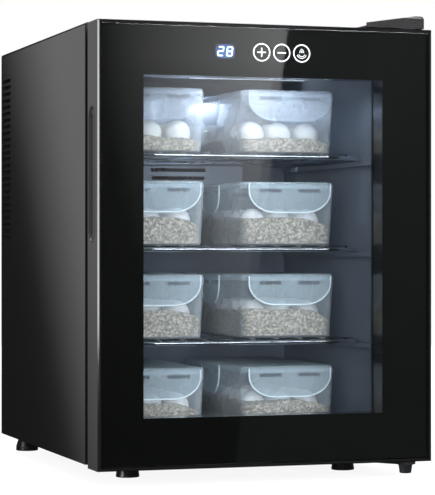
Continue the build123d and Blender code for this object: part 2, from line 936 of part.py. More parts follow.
def hinge_cover_outline(inset):
    """The hinge cover seen from the front: it rises to the right, then turns down."""
    right = hinge_x + cover_right_reach - inset
    left = hinge_x + cover_right_reach - cover_width + inset
    slope = (cover_high_height - cover_low_height) / (cover_width - cover_flat)
    low = cabinet_top + cover_low_height + slope * inset - inset
    high = cabinet_top + cover_high_height - inset
    bottom = cabinet_top
    corner_x = hinge_x + cover_right_reach - cover_flat
    outline = Polygon(
        (left, bottom), (right, bottom), (right, high), (corner_x, high), (left, low), align=None
    )
    top_right = outline.vertices().sort_by(lambda v: v.X + v.Y)[-1]
    return fillet(top_right, cover_corner - inset / 2)


def hinge_cover_body(inset):
    """The cover's outer form, or the room inside it: wedge-shaped, with its left side run in."""
    cover_front = door_front + cover_front_inset
    front = cover_front + inset
    back = cover_front + cover_length - inset
    left = hinge_x + cover_right_reach - cover_width + inset
    knee_x = left + cover_taper
    knee_y = cover_front + cover_taper_length
    body = extrude(front_plane(0, front, 0) * hinge_cover_outline(inset), front - back)
    plan = Polygon(
        (left, front), (knee_x, knee_y), (knee_x, back + 1), (left - 1, back + 1), (left - 1, front),
        align=None,
    )
    body -= Pos(0, 0, cabinet_top - 1) * extrude(plan, cover_high_height + 2)
    edge_z = cabinet_top + cover_left_height - inset * math.hypot(1, cover_left_rise)
    edge_z += inset * cover_left_rise
    rise = cover_high_height
    slope = Polygon(
        (knee_x, edge_z), (knee_x + rise / cover_left_rise, edge_z + rise), (knee_x, edge_z + rise),
        align=None,
    )
    return body - extrude(front_plane(0, knee_y, 0) * slope, knee_y - back - 1)


def make_upper_hinge_cover():
    """Moulded cap over the upper hinge, wedge-shaped from the front."""
    outer = hinge_cover_body(0)
    corner = outer.edges().filter_by(Axis.Z).sort_by(lambda e: e.center().X - e.center().Y)[-1]
    return fillet(corner, cover_front_round) - hinge_cover_body(cover_wall)


# ---- Door ----------------------------------------------------------------------
def door_rect():
    return (-side_x, side_x, door_bottom, door_top)


def handle_spans():
    """Front and back edge, and lower and upper end, of the handle's scoop."""
    y0 = door_front + handle_front_inset
    z = door_top - handle_centre_below_top
    return y0, y0 + handle_scoop_width, z - handle_height / 2, z + handle_height / 2


def handle_outline(grow):
    """The scoop's rounded outline in the plane of the door's side, larger by grow."""
    y0, y1, z0, z1 = handle_spans()
    width = y1 - y0 + 2 * grow
    height = z1 - z0 + 2 * grow
    shape = RectangleRounded(width, height, width / 2 - 0.2)
    return side_plane(-side_x, (y0 + y1) / 2, (z0 + z1) / 2) * shape


def handle_cup_depth():
    return handle_slot_depth + handle_cup_wall


def handle_slot_box():
    """(x0, x1, y0, y1, z0, z1) of the deep finger slot at the back of the scoop."""
    y0, y1, z0, z1 = handle_spans()
    return (
        -side_x,
        -side_x + handle_slot_depth,
        y1 - handle_slot_width,
        y1,
        z0 + handle_slot_margin,
        z1 - handle_slot_margin,
    )


def make_handle_cup():
    """Insert in the door's left side: a sloped scoop that leads the fingers into a deep slot."""
    body = extrude(handle_outline(handle_rim), -handle_cup_depth())
    y0, y1, z0, z1 = handle_spans()
    slope = handle_scoop_slope
    mouth = handle_outline(0)
    floor_width = y1 - y0 - slope
    floor_shape = RectangleRounded(floor_width, z1 - z0 - 2 * slope, floor_width / 2 - 0.2)
    floor = side_plane(-side_x + handle_scoop_depth, (y0 + slope + y1) / 2, (z0 + z1) / 2) * floor_shape
    body -= loft([mouth, floor], ruled=True)
    x0, x1, sy0, sy1, sz0, sz1 = handle_slot_box()
    width = sy1 - sy0
    slot = RectangleRounded(width, sz1 - sz0, width / 2 - 0.2)
    return body - extrude(side_plane(x0, (sy0 + sy1) / 2, (sz0 + sz1) / 2) * slot, -(x1 - x0))


def bush_boss_radius():
    return bush_radius + bush_boss_wall


def bush_boss_spans():
    """(z0, z1) of the two bosses that hold the bushes."""
    return [(door_top - bush_length, door_top), (door_bottom, door_bottom + bush_length)]


def control_board_rect():
    left = display_x - display_width / 2 - control_board_margin
    right = key_xs[-1] + key_radius + control_board_margin
    half = max(display_height / 2, key_radius) + control_board_edge
    return (left, right, control_z - half, control_z + half)


def key_discs(y0, y1, radius):
    return [along_y(x, control_z, y0, y1, radius) for x in key_xs]


def display_block(y0, y1, grow):
    half_w = display_width / 2 + grow
    half_h = display_height / 2 + grow
    return block(
        display_x - half_w, display_x + half_w, y0, y1, control_z - half_h, control_z + half_h
    )


def make_door_frame():
    """Moulded door frame: outer wall, web behind the glass and a wall round the window."""
    outer = door_rect()
    body = block(outer[0], outer[1], door_front, door_back, outer[2], outer[3])
    body = chamfer(body.faces().sort_by(Axis.Y)[0].edges(), door_chamfer)
    lip = grown(outer, -door_wall)
    body -= block(lip[0], lip[1], door_front - 1, print_back, lip[2], lip[3])
    body -= block(window[0], window[1], door_front, door_back + 1, window[2], window[3])
    wall = grown(window, door_wall)
    hollow = block(lip[0], lip[1], web_back, door_back + 1, lip[2], lip[3])
    hollow -= block(wall[0], wall[1], web_back - 1, inner_glass_front, wall[2], wall[3])
    for z0, z1 in bush_boss_spans():
        hollow -= upright(hinge_x, hinge_y, z0, z1, bush_boss_radius())
    body -= hollow
    for z0, z1 in bush_boss_spans():
        body -= upright(hinge_x, hinge_y, z0 - 1, z1 + 1, bush_radius)
    body -= extrude(handle_outline(handle_rim), -2 * door_wall)
    body -= display_block(print_back - 1, web_back + 1, control_board_gap)
    return body - key_discs(print_back - 1, web_back + 1, key_radius + control_board_gap)


def make_outer_glass():
    """Toughened pane that fills the door's front inside the lip."""
    rect = grown(door_rect(), -door_wall - glass_play)
    pane = block(rect[0], rect[1], glass_front, glass_back, rect[2], rect[3])
    return chamfer(pane.faces().sort_by(Axis.Y)[0].edges(), glass_arris)


def make_glass_border():
    """Opaque printed border behind the outer pane, clear at the window and at the display."""
    rect = grown(door_rect(), -door_wall - glass_play)
    body = ring_slab(rect, window, glass_back, print_back)
    return body - display_block(glass_back - 1, print_back + 1, 0)


def make_inner_glass():
    """Inner pane, seated on the end of the window's wall."""
    rect = grown(window, inner_glass_lap)
    return block(rect[0], rect[1], inner_glass_front, inner_glass_back, rect[2], rect[3])


def make_door_liner():
    """Moulded back of the door, which clamps the inner pane and carries the seal."""
    back = ring_slab(
        grown(door_rect(), -door_wall - glass_play), grown(window, sight_step), liner_front, door_back
    )
    clamp_outer = grown(window, sight_step + liner_frame)
    pocket = grown(window, inner_glass_lap + glass_play)
    clamp = ring_slab(clamp_outer, pocket, inner_glass_front + glass_play, liner_front + 0.5)
    opening = grown(window, 0.5)
    stop = ring_slab(clamp_outer, opening, inner_glass_back, liner_front + 0.5)
    return back + clamp + stop - extrude(handle_outline(handle_rim), -handle_cup_depth())


def make_door_foam():
    """Foam that fills the door's frame."""
    outer = grown(door_rect(), -door_wall)
    wall = grown(window, sight_step + liner_frame)
    body = ring_slab(outer, wall, web_back, liner_front)
    for z0, z1 in bush_boss_spans():
        body -= upright(hinge_x, hinge_y, z0, z1, bush_boss_radius())
    body -= extrude(handle_outline(handle_rim), -handle_cup_depth())
    x0, x1, z0, z1 = grown(control_board_rect(), control_board_gap)
    pocket_depth = control_board_thickness + 2 * control_board_gap
    return body - block(x0, x1, web_back - 1, web_back + pocket_depth, z0, z1)


def make_control_board():
    """Touch board behind the glass, with a sensing pad for each key."""
    x0, x1, z0, z1 = control_board_rect()
    board = block(x0, x1, web_back, web_back + control_board_thickness, z0, z1)
    return Compound([board, *key_discs(print_back, web_back, key_radius)])


def make_display_module():
    """Two-digit display, seen through the border's clear patch."""
    return display_block(print_back, web_back, 0)


def seal_rect():
    return grown((-cavity_x, cavity_x, cavity_floor, cavity_ceiling), seal_lap + seal_width)


def make_door_seal():
    """Magnetic seal: a foot on the door's liner, a bellows neck and the magnet's head."""
    outer = seal_rect()
    inner = grown(outer, -seal_width)
    side = (seal_width - seal_neck) / 2
    foot = ring_slab(outer, inner, door_back, door_back + seal_foot)
    bite = 0.5
    neck_front = door_back + seal_foot - bite
    neck_back = cabinet_front - seal_foot + bite
    neck = ring_slab(grown(outer, -side), grown(inner, side), neck_front, neck_back)
    head = ring_slab(outer, inner, cabinet_front - seal_foot, cabinet_front)
    return foot + neck + head


# ---- Shelves -------------------------------------------------------------------
def shelf_spans():
    """(x, y0, y1): half width and front and back of the outer bar's axis."""
    x = cavity_x - shelf_side_gap - shelf_bar_radius
    y0 = cabinet_front + shelf_door_gap + shelf_travel + shelf_bar_radius
    y1 = cavity_back - duct_depth - shelf_rear_gap - shelf_bar_radius
    return x, y0, y1


def make_shelf(level):
    """Wire shelf: an outer bar bent round with wide front corners, and wires laid across it."""
    x, y0, y1 = shelf_spans()
    z = shelf_bar_z(level)
    rear_corner = shelf_rear_corner
    plan = Plane(origin=(0, 0, z))
    front_left = Line((-x, y1 - rear_corner), (-x, y0 + shelf_corner))
    corner_a = RadiusArc(front_left @ 1, (-x + shelf_corner, y0), -shelf_corner)
    front = Line(corner_a @ 1, (x - shelf_corner, y0))
    corner_b = RadiusArc(front @ 1, (x, y0 + shelf_corner), -shelf_corner)
    right = Line(corner_b @ 1, (x, y1 - rear_corner))
    corner_c = RadiusArc(right @ 1, (x - rear_corner, y1), -rear_corner)
    back = Line(corner_c @ 1, (-x + rear_corner, y1))
    corner_d = RadiusArc(back @ 1, front_left @ 0, -rear_corner)
    loop = Wire([front_left, corner_a, front, corner_b, right, corner_c, back, corner_d])
    path = plan * loop
    section = Plane(origin=path @ 0, z_dir=path % 0) * Circle(shelf_bar_radius)
    body = sweep(section, path)
    steps = int((x - shelf_corner / 2) // shelf_wire_pitch)
    wire_z = level_z(level) - shelf_wire_radius
    for i in range(-steps, steps + 1):
        wire_x = (i + 0.5) * shelf_wire_pitch
        if abs(wire_x) > x - 2 * shelf_bar_radius:
            continue
        bend = max(0.0, abs(wire_x) - (x - shelf_corner))
        front_y = y0 + shelf_corner - math.sqrt(shelf_corner**2 - bend**2)
        body += along_y(wire_x, wire_z, front_y, y1, shelf_wire_radius)
    middle_y = (y0 + shelf_corner + y1) / 2
    brace_z = wire_z - 2 * shelf_wire_radius + shelf_weld
    return body + along_x(middle_y, brace_z, -x, x, shelf_wire_radius)


# ---- Hatching tubs -------------------------------------------------------------
def tub_outline(inset, z):
    """Rounded rectangle of the tub at a height, smaller by inset all round."""
    lean = tub_draft * (1 - z / tub_height)
    shrink = inset + lean
    return Plane.XY.offset(z) * RectangleRounded(
        tub_width - 2 * shrink, tub_length - 2 * shrink, tub_corner - inset
    )


def tub_block(inset, z0, z1):
    return loft([tub_outline(inset, z0), tub_outline(inset, z1)], ruled=True)


def lid_seat():
    """Height of the tub's rim band top, which the lid's skirt stands on."""
    return tub_height - lid_height


def straight_block(inset, z0, z1):
    """An upright rounded block of the lid's outline, smaller by inset all round."""
    outline = RectangleRounded(
        tub_width - 2 * inset, tub_length - 2 * inset, tub_corner - min(inset, tub_corner / 2)
    )
    return extrude(Plane.XY.offset(z0) * outline, z1 - z0)


def catch_z():
    return tub_height - catch_below_top


def catch_offsets(flap_width):
    """Centres of a flap's two catches, along the flap."""
    spread = min(catch_spread, flap_width - catch_length - 4 * catch_play)
    return [-spread / 2, spread / 2]


def catch_span(flap_width):
    """Length of each catch, short enough for both to fit in the flap."""
    return min(catch_length, flap_width / 2 - 4 * catch_play - catch_play)


def flap_sides():
    """(flap width, flat width, turn in degrees, distance of the lid's wall from the tub's centre)."""
    return [
        (front_flap_width, front_flap_flat, 0, tub_length / 2),
        (front_flap_width, front_flap_flat, 180, tub_length / 2),
        (side_flap_width, side_flap_flat, 90, tub_width / 2),
        (side_flap_width, side_flap_flat, 270, tub_width / 2),
    ]


def flap_outline(width, flat, shrink):
    """A flap seen face on, hanging from y = 0: straight sides, then two elliptical quarters."""
    half = width / 2 - shrink
    half_flat = flat / 2
    drop = flap_drop - shrink
    rx = half - half_flat
    ry = drop - flap_straight
    left = EllipticalCenterArc((-half_flat, -flap_straight), rx, ry, 180, arc_size=90)
    right = EllipticalCenterArc((half_flat, -flap_straight), rx, ry, 270, arc_size=90)
    edges = [
        Line((-half, 0), (-half, -flap_straight)),
        left,
        Line((-half_flat, -drop), (half_flat, -drop)),
        right,
        Line((half, -flap_straight), (half, 0)),
        Line((half, 0), (-half, 0)),
    ]
    return make_face(edges)


def flap(width, flat, turn, wall):
    """One hanging flap of a lid, its web to the lid and its beaded edge."""
    inner = -wall - flap_stand_off
    outer = inner - flap_thickness
    z = tub_height - lid_shoulder / 2
    plane = front_plane(0, outer, z)
    body = extrude(plane * flap_outline(width, flat, 0), -flap_thickness)
    bead = flap_outline(width, flat, 0) - flap_outline(width, flat, flap_bead_width)
    bead_plane = front_plane(0, outer - flap_bead, z)
    body += extrude(bead_plane * bead, -(flap_bead + 0.2))
    slot_z = catch_z()
    half_slot = catch_span(width) / 2 + catch_play
    half_height = catch_height / 2 + catch_play
    for dx in catch_offsets(width):
        body -= block(
            dx - half_slot,
            dx + half_slot,
            outer - 2 * flap_bead,
            inner + 1,
            slot_z - half_height,
            slot_z + half_height,
        )
    body += block(-width / 2, width / 2, outer, -wall + lid_wall, z - flap_web, z)
    return Rot(0, 0, turn) * body


def make_tub():
    """Clear tub with a stiff band under its rim and catches that the lid's flaps snap over."""
    body = tub_block(0, 0, lid_seat())
    body = fillet(body.edges().group_by(Axis.Z)[0], tub_foot_round)
    body += straight_block(0, lid_seat() - rim_height, lid_seat())
    top = tub_height - lid_wall
    neck = lid_wall + lid_fit
    body += straight_block(neck, lid_seat() - 1, top)
    inside = tub_block(tub_wall, tub_wall, lid_seat() - rim_height)
    body -= inside
    body -= straight_block(neck + tub_wall, lid_seat() - rim_height - 0.5, top + 1)
    z = catch_z()
    for width, _, turn, wall in flap_sides():
        for dx in catch_offsets(width):
            half = catch_span(width) / 2
            depth = flap_stand_off + flap_thickness + catch_reach
            catch = block(
                dx - half, dx + half, -wall - depth, -wall + 0.5, z - catch_height / 2, z + catch_height / 2
            )
            body += Rot(0, 0, turn) * catch
    return body


def make_lid():
    """Lid with a round shoulder, a short skirt and a hanging flap on every side."""
    body = straight_block(0, lid_seat(), tub_height)
    body = fillet(body.edges().group_by(Axis.Z)[-1], lid_shoulder)
    body -= straight_block(lid_wall, lid_seat() - 1, tub_height - lid_wall)
    for side in flap_sides():
        body += flap(*side)
    return body


def fill_height(level):
    return top_fill_depth if level == level_count else fill_depth


def egg_height(level):
    """Height of the eggs' centres over the underside of their tub."""
    lift = top_egg_lift if level == level_count else egg_lift
    return tub_wall + fill_height(level) + lift


def egg_spots(level):
    """Centres of the eggs in one tub: rows along the tub, each egg a little off its grid."""
    z = egg_height(level)
    usable = tub_length - 2 * (tub_draft + tub_wall + fill_play) - 2 * egg_radius - 2 * egg_wander_y
    rows = int(usable // egg_pitch_y) + 1
    spots = []
    for row in range(rows):
        y = (row - (rows - 1) / 2) * egg_pitch_y
        for column in range(egg_columns):
            x = (column - (egg_columns - 1) / 2) * egg_pitch_x
            wave = 2.4 * column + 1.7 * row + 0.9 * level
            spots.append(
                (x + egg_wander_x * math.sin(wave), y + egg_wander_y * math.cos(1.3 * wave), z)
            )
    return spots


def make_eggs(level):
    """The eggs of one tub."""
    return [Pos(*spot) * Sphere(egg_radius) for spot in egg_spots(level)]


def make_fill(level):
    """Vermiculite in one tub, pressed to the shape of the eggs that lie in it."""
    body = tub_block(tub_wall + fill_play, tub_wall, tub_wall + fill_height(level))
    return body - make_eggs(level)


def on_level(level, make):
    """Copies of a tub piece, one for each tub of a level. make returns a solid or a list of them."""
    made = make()
    solids = made if isinstance(made, list) else [made]
    return Compound(
        [Pos(x, tub_y, level_z(level)) * solid for x in tub_xs() for solid in solids]
    )


# ---- Thermoelectric unit -------------------------------------------------------
def unit_square(size, y0, y1):
    half = size / 2
    return block(-half, half, y0, y1, unit_z - half, unit_z + half)


def heat_sink(width, height, depth, y_base, direction):
    """Extruded sink with upright fins. direction is +1 where the fins point to the back."""
    half_w = width / 2
    half_h = height / 2
    y_fin = y_base + direction * sink_base
    y_end = y_base + direction * depth
    body = block(
        -half_w, half_w, min(y_base, y_fin), max(y_base, y_fin), unit_z - half_h, unit_z + half_h
    )
    count = int((width - fin_thickness) // fin_pitch) + 1
    start = -(count - 1) / 2 * fin_pitch
    bite = 0.5
    near, far = sorted((y_fin - direction * bite, y_end))
    half_fin = fin_thickness / 2
    for i in range(count):
        x = start + i * fin_pitch
        body += block(x - half_fin, x + half_fin, near, far, unit_z - half_h, unit_z + half_h)
    return body


def inner_fan_front():
    """Front of the inner fan, which stands on the ends of the inner sink's fins."""
    return cavity_back - inner_sink_depth - inner_fan_depth


def outer_fan_front():
    """Front of the outer fan, which stands on the ends of the outer sink's fins."""
    return bulkhead_back + outer_sink_depth


def fan_radius(size):
    """Radius of the blades' tips."""
    return size / 2 - fan_wall - fan_tip_gap


def fan_frame(size, depth, y_front):
    """Square fan frame with a round duct, struts and the plate that carries the motor."""
    y_back = y_front + depth
    body = unit_square(size, y_front, y_back)
    body = fillet(body.edges().filter_by(Axis.Y), fan_corner)
    body -= along_y(0, unit_z, y_front - 1, y_back + 1, size / 2 - fan_wall)
    hub = fan_hub_share * fan_radius(size)
    reach = size / 2 - fan_wall / 2
    for angle in (45, 135):
        strut = Box(2 * reach, fan_plate, fan_strut)
        body += Pos(0, y_back - fan_plate / 2, unit_z) * Rot(0, angle, 0) * strut
    body += along_y(0, unit_z, y_back - fan_plate, y_back, hub)
    hole = size / 2 - fan_hole_inset
    for sx in (-1, 1):
        for sz in (-1, 1):
            body -= along_y(sx * hole, unit_z + sz * hole, y_front - 1, y_back + 1, fan_hole_radius)
    return body - along_y(0, unit_z, y_front, y_back + 1, fan_shaft_radius + fan_running_gap)


def fan_rotor(size, depth, y_front):
    """Fan rotor: hub, pitched blades and the shaft that turns in the frame's plate."""
    radius = fan_radius(size)
    hub = fan_hub_share * radius
    rotor_front = y_front + fan_rotor_gap
    rotor_back = y_front + depth - fan_plate - fan_rotor_gap
    middle = (rotor_front + rotor_back) / 2
    chord = (rotor_back - rotor_front) / math.cos(math.radians(fan_blade_pitch)) + 4.0
    blade_length = radius - hub / 2
    blades = None
    for i in range(fan_blades):
        blade = Pos(hub / 2 + blade_length / 2, 0, 0) * Rot(fan_blade_pitch, 0, 0) * Box(
            blade_length + 4.0, chord, fan_blade_thickness
        )
        turned = Pos(0, middle, unit_z) * Rot(0, 360.0 * i / fan_blades, 0) * blade
        blades = turned if blades is None else blades + turned
    blades &= along_y(0, unit_z, rotor_front, rotor_back, radius)
    body = blades + along_y(0, unit_z, rotor_front, rotor_back, hub)
    return body + along_y(0, unit_z, rotor_front + 1, y_front + depth, fan_shaft_radius)


def make_transfer_block():
    """Aluminium block that carries heat through the insulation."""
    return unit_square(module_size, cavity_back, bulkhead_back - module_thickness)


def make_thermoelectric_module():
    """Thermoelectric module between the transfer block and the outer sink."""
    return unit_square(module_size, bulkhead_back - module_thickness, bulkhead_back)


def make_inner_sink():
    return heat_sink(inner_sink_size, inner_sink_size, inner_sink_depth, cavity_back, -1)


def make_outer_sink():
    return heat_sink(outer_sink_width, outer_sink_height, outer_sink_depth, bulkhead_back, 1)


def duct_spans():
    """(x, y0, z0, z1): half width, front, bottom and top of the air duct's cover."""
    top = unit_z + duct_top_above_centre
    return duct_width / 2, cavity_back - duct_depth, top - duct_height, top


def rear_lamp_rect():
    top = duct_spans()[3] - rear_lamp_below_duct_top
    x = rear_lamp_from_centre
    return (x - rear_lamp_width / 2, x + rear_lamp_width / 2, top - rear_lamp_height, top)


def make_duct_cover():
    """Moulded cover over the inner sink and fan: air enters its round grille and leaves at the ends."""
    half, front, z0, z1 = duct_spans()
    body = rounded_slab(-half, half, front, cavity_back, z0, z1, duct_corner)
    wall = duct_wall
    inner = (-half + wall, half - wall, front + wall, cavity_back + 1, z0 + wall, z1 - wall)
    body -= rounded_slab(*inner, duct_corner - wall)
    half_high = duct_slot / 2
    radius = fan_radius(inner_fan_size)
    rows = int(radius // duct_slot_pitch)
    slots = []
    for i in range(-rows, rows + 1):
        z = unit_z + i * duct_slot_pitch
        reach = math.sqrt(radius**2 - (i * duct_slot_pitch) ** 2)
        slots.append(block(-reach, reach, front - 1, front + wall + 1, z - half_high, z + half_high))
    side_front = cavity_back - inner_sink_depth
    steps = int((inner_sink_size / 2 - duct_slot) // duct_slot_pitch)
    for i in range(-steps, steps + 1):
        z = unit_z + i * duct_slot_pitch
        slots.append(
            block(-half - 1, half + 1, side_front, cavity_back - wall, z - half_high, z + half_high)
        )
    body -= slots
    x0, x1, lamp_z0, lamp_z1 = rear_lamp_rect()
    return body - block(x0, x1, front - 1, front + wall + 1, lamp_z0, lamp_z1)


def make_duct_clips():
    """Four screwed clips beside the duct's cover, which hold it to the liner."""
    clips = []
    half, _, z0, z1 = duct_spans()
    front = cavity_back - clip_thickness
    for side in (-1, 1):
        x0, x1 = sorted((side * half, side * (half + clip_size)))
        for z in (z0 + clip_inset, z1 - clip_inset):
            foot = block(x0, x1, front, cavity_back, z - clip_size / 2, z + clip_size / 2)
            clips.append(foot + along_y((x0 + x1) / 2, z, front - clip_screw_head, front, clip_size / 3))
    return Compound(clips)


# ---- Lamps and probe -----------------------------------------------------------
def lamp_spans():
    """(x, y0, y1, z0): half length, front, back and lower edge of the ceiling lamp."""
    y0 = cabinet_front + lamp_inset
    return lamp_length / 2, y0, y0 + lamp_depth, cavity_ceiling - lamp_drop


def make_lamp_housing():
    """Ceiling lamp's housing, and the board of the lamp in the duct's cover."""
    x, y0, y1, z0 = lamp_spans()
    housing = block(-x, x, y0, y1, z0 + lens_height, cavity_ceiling)
    wall = lamp_wall
    housing -= block(
        -x + wall, x - wall, y0 + wall, y1 - wall, z0 + lens_height - 1, cavity_ceiling - wall
    )
    lx0, lx1, lz0, lz1 = rear_lamp_rect()
    front = duct_spans()[1] + duct_wall
    x0, x1, z0, z1 = grown((lx0, lx1, lz0, lz1), lamp_board_margin)
    board = block(x0, x1, front, front + lamp_board_thickness, z0, z1)
    return Compound([housing, board])


def make_lamp_lens():
    """Frosted lenses of the ceiling lamp and of the lamp in the duct's cover."""
    x, y0, y1, z0 = lamp_spans()
    ceiling_lens = block(-x, x, y0, y1, z0, z0 + lens_height)
    ceiling_lens = fillet(ceiling_lens.edges().group_by(Axis.Z)[0].filter_by(Axis.X), lens_round)
    lx0, lx1, lz0, lz1 = rear_lamp_rect()
    front = duct_spans()[1]
    rear_lens = block(lx0, lx1, front, front + rear_lens_thickness, lz0, lz1)
    return Compound([ceiling_lens, rear_lens])


def make_temperature_probe():
    """Probe in a clip on the chamber's back wall, beside the duct."""
    x = duct_spans()[0] + probe_beside_duct
    z = unit_z + probe_above_centre
    y = cavity_back - probe_stand_off - probe_radius
    body = upright(x, y, z - probe_length / 2, z + probe_length / 2, probe_radius)
    return body + block(
        x - probe_clip / 2, x + probe_clip / 2, y, cavity_back, z - probe_clip / 2, z + probe_clip / 2
    )


# ---- The whole object ------------------------------------------------------------
def parts():
    """Every node's name with its solid or solids."""
    made = {
        "outer_wrap": make_outer_wrap(),
        "base_plate": make_base_plate(),
        "inner_liner": make_inner_liner(),
        "foam_insulation": make_foam(),
        "rear_bulkhead": make_rear_bulkhead(),
        "rear_cover": make_rear_cover(),
        "rear_cover_screws": make_rear_cover_screws(),
        "mains_inlet": make_mains_inlet(),
        "power_board": make_power_board(),
        "rear_feet": make_rear_feet(),
        "left_front_foot": make_front_foot(-1),
        "right_front_foot": make_front_foot(1),
        "upper_hinge_bracket": make_upper_hinge_bracket(),
        "lower_hinge_bracket": make_lower_hinge_bracket(),
        "hinge_pins": make_hinge_pins(),
        "hinge_screws": make_hinge_screws(),
        "hinge_bushes": make_hinge_bushes(),
        "upper_hinge_cover": make_upper_hinge_cover(),
        "door_frame": make_door_frame(),
        "outer_glass": make_outer_glass(),
        "glass_border": make_glass_border(),
        "inner_glass": make_inner_glass(),
        "door_liner": make_door_liner(),
        "door_foam": make_door_foam(),
        "door_seal": make_door_seal(),
        "handle_cup": make_handle_cup(),
        "control_board": make_control_board(),
        "display_module": make_display_module(),
        "transfer_block": make_transfer_block(),
        "thermoelectric_module": make_thermoelectric_module(),
        "inner_heat_sink": make_inner_sink(),
        "outer_heat_sink": make_outer_sink(),
        "inner_fan_frame": fan_frame(inner_fan_size, inner_fan_depth, inner_fan_front()),
        "inner_fan_rotor": fan_rotor(inner_fan_size, inner_fan_depth, inner_fan_front()),
        "outer_fan_frame": fan_frame(outer_fan_size, outer_fan_depth, outer_fan_front()),
        "outer_fan_rotor": fan_rotor(outer_fan_size, outer_fan_depth, outer_fan_front()),
        "duct_cover": make_duct_cover(),
        "duct_clips": make_duct_clips(),
        "lamp_housing": make_lamp_housing(),
        "lamp_lens": make_lamp_lens(),
        "temperature_probe": make_temperature_probe(),
    }
    for level in range(1, level_count + 1):
        if level > 1:
            made[f"shelf_{level}"] = make_shelf(level)
        made[f"level_{level}_tubs"] = on_level(level, make_tub)
        made[f"level_{level}_lids"] = on_level(level, make_lid)
        made[f"level_{level}_vermiculite"] = on_level(level, lambda n=level: make_fill(n))
        made[f"level_{level}_eggs"] = on_level(level, lambda n=level: make_eggs(n))
    return made


def main():
    os.makedirs("parts", exist_ok=True)
    for name, shape in parts().items():
        export_step(shape, f"parts/{name}.step")


if __name__ == "__main__":
    main()
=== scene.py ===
# %% [markdown]
# # Egg incubator with a glass door
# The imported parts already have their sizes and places. This lesson gives them their looks:
# coated steel, moulded plastic, toughened glass, clear tubs, eggs in vermiculite and a lit chamber.
# Lengths are in metres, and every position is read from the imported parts.

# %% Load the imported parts
import math

import bmesh
import bpy
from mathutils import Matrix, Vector, noise


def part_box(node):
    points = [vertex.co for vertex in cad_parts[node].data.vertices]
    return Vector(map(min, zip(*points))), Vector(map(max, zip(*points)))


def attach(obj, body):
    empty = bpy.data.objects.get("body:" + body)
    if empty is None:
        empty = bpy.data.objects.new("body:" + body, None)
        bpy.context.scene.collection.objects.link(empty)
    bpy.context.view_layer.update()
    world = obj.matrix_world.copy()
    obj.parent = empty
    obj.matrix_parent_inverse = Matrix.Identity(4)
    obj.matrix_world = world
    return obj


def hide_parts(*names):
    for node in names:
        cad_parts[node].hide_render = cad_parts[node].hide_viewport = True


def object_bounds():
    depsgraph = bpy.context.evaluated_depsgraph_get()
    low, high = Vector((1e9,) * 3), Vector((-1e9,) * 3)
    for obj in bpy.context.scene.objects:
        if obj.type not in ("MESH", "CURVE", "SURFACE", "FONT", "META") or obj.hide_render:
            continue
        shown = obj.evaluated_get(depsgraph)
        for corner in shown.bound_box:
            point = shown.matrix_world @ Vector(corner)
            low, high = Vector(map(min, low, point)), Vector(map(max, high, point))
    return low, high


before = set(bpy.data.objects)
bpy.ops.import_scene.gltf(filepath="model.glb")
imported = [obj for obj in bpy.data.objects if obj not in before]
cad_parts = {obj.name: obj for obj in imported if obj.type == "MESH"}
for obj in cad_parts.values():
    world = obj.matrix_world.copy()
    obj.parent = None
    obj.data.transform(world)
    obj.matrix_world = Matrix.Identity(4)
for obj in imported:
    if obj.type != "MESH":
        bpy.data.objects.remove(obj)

MM = 0.001
cad_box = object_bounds()

# %% [markdown]
# ## Small helpers
# Colours are written as sRGB hex values, as a paint chart gives them, and one function turns them
# into the linear values that shaders need. One more function adds a node with its settings and
# links, so each material reads like a recipe.

# %% Helpers for colours, nodes and meshes
def linear(hex_colour):
    """Linear RGBA of an sRGB hex colour."""
    channels = [int(hex_colour[i:i + 2], 16) / 255 for i in (1, 3, 5)]
    return [c / 12.92 if c <= 0.04045 else ((c + 0.055) / 1.055) ** 2.4 for c in channels] + [1.0]


def add(tree, kind, inputs=None, **settings):
    """A new node. settings are its properties; inputs are values, or the sockets that feed it."""
    node = tree.nodes.new(kind)
    for name, value in settings.items():
        setattr(node, name, value)
    for socket, value in (inputs or {}).items():
        if isinstance(value, bpy.types.NodeSocket):
            tree.links.new(value, node.inputs[socket])
        else:
            node.inputs[socket].default_value = value
    return node


def start_material(name):
    """An empty node material."""
    material = bpy.data.materials.new(name)
    material.use_nodes = True
    material.node_tree.nodes.clear()
    return material, material.node_tree


def open_material(material):
    """The tree, the Object coordinates and the surface shader of a finished material."""
    tree = material.node_tree
    nodes = {node.type: node for node in tree.nodes}
    return tree, nodes["TEX_COORD"].outputs["Object"], nodes["BSDF_PRINCIPLED"]


def per_mm(size_mm):
    """Pattern scale on Object coordinates whose features are about size_mm wide."""
    return 1000.0 / size_mm


def new_object(name, mesh, material=None):
    """An object in the scene for a finished mesh."""
    piece = bpy.data.objects.new(name, mesh)
    bpy.context.scene.collection.objects.link(piece)
    if material is not None:
        mesh.materials.clear()
        mesh.materials.append(material)
    return piece


def edit_mesh(mesh, change):
    """Runs one change on a mesh in its editable form."""
    shell = bmesh.new()
    shell.from_mesh(mesh)
    change(shell)
    shell.to_mesh(mesh)
    shell.free()


def close_up(shell):
    """Merges doubles and turns the faces outwards."""
    bmesh.ops.remove_doubles(shell, verts=shell.verts, dist=1e-7)
    bmesh.ops.recalc_face_normals(shell, faces=shell.faces)


def mesh_from(name, vertices, faces):
    """A mesh from lists, its doubles merged and its faces turned outwards."""
    mesh = bpy.data.meshes.new(name)
    mesh.from_pydata(vertices, [], faces)
    edit_mesh(mesh, close_up)
    return mesh


def joined(shapes):
    """One list of vertices and one of faces from several pairs of them."""
    vertices, faces = [], []
    for shape_vertices, shape_faces in shapes:
        base = len(vertices)
        vertices += shape_vertices
        faces += [tuple(base + i for i in face) for face in shape_faces]
    return vertices, faces


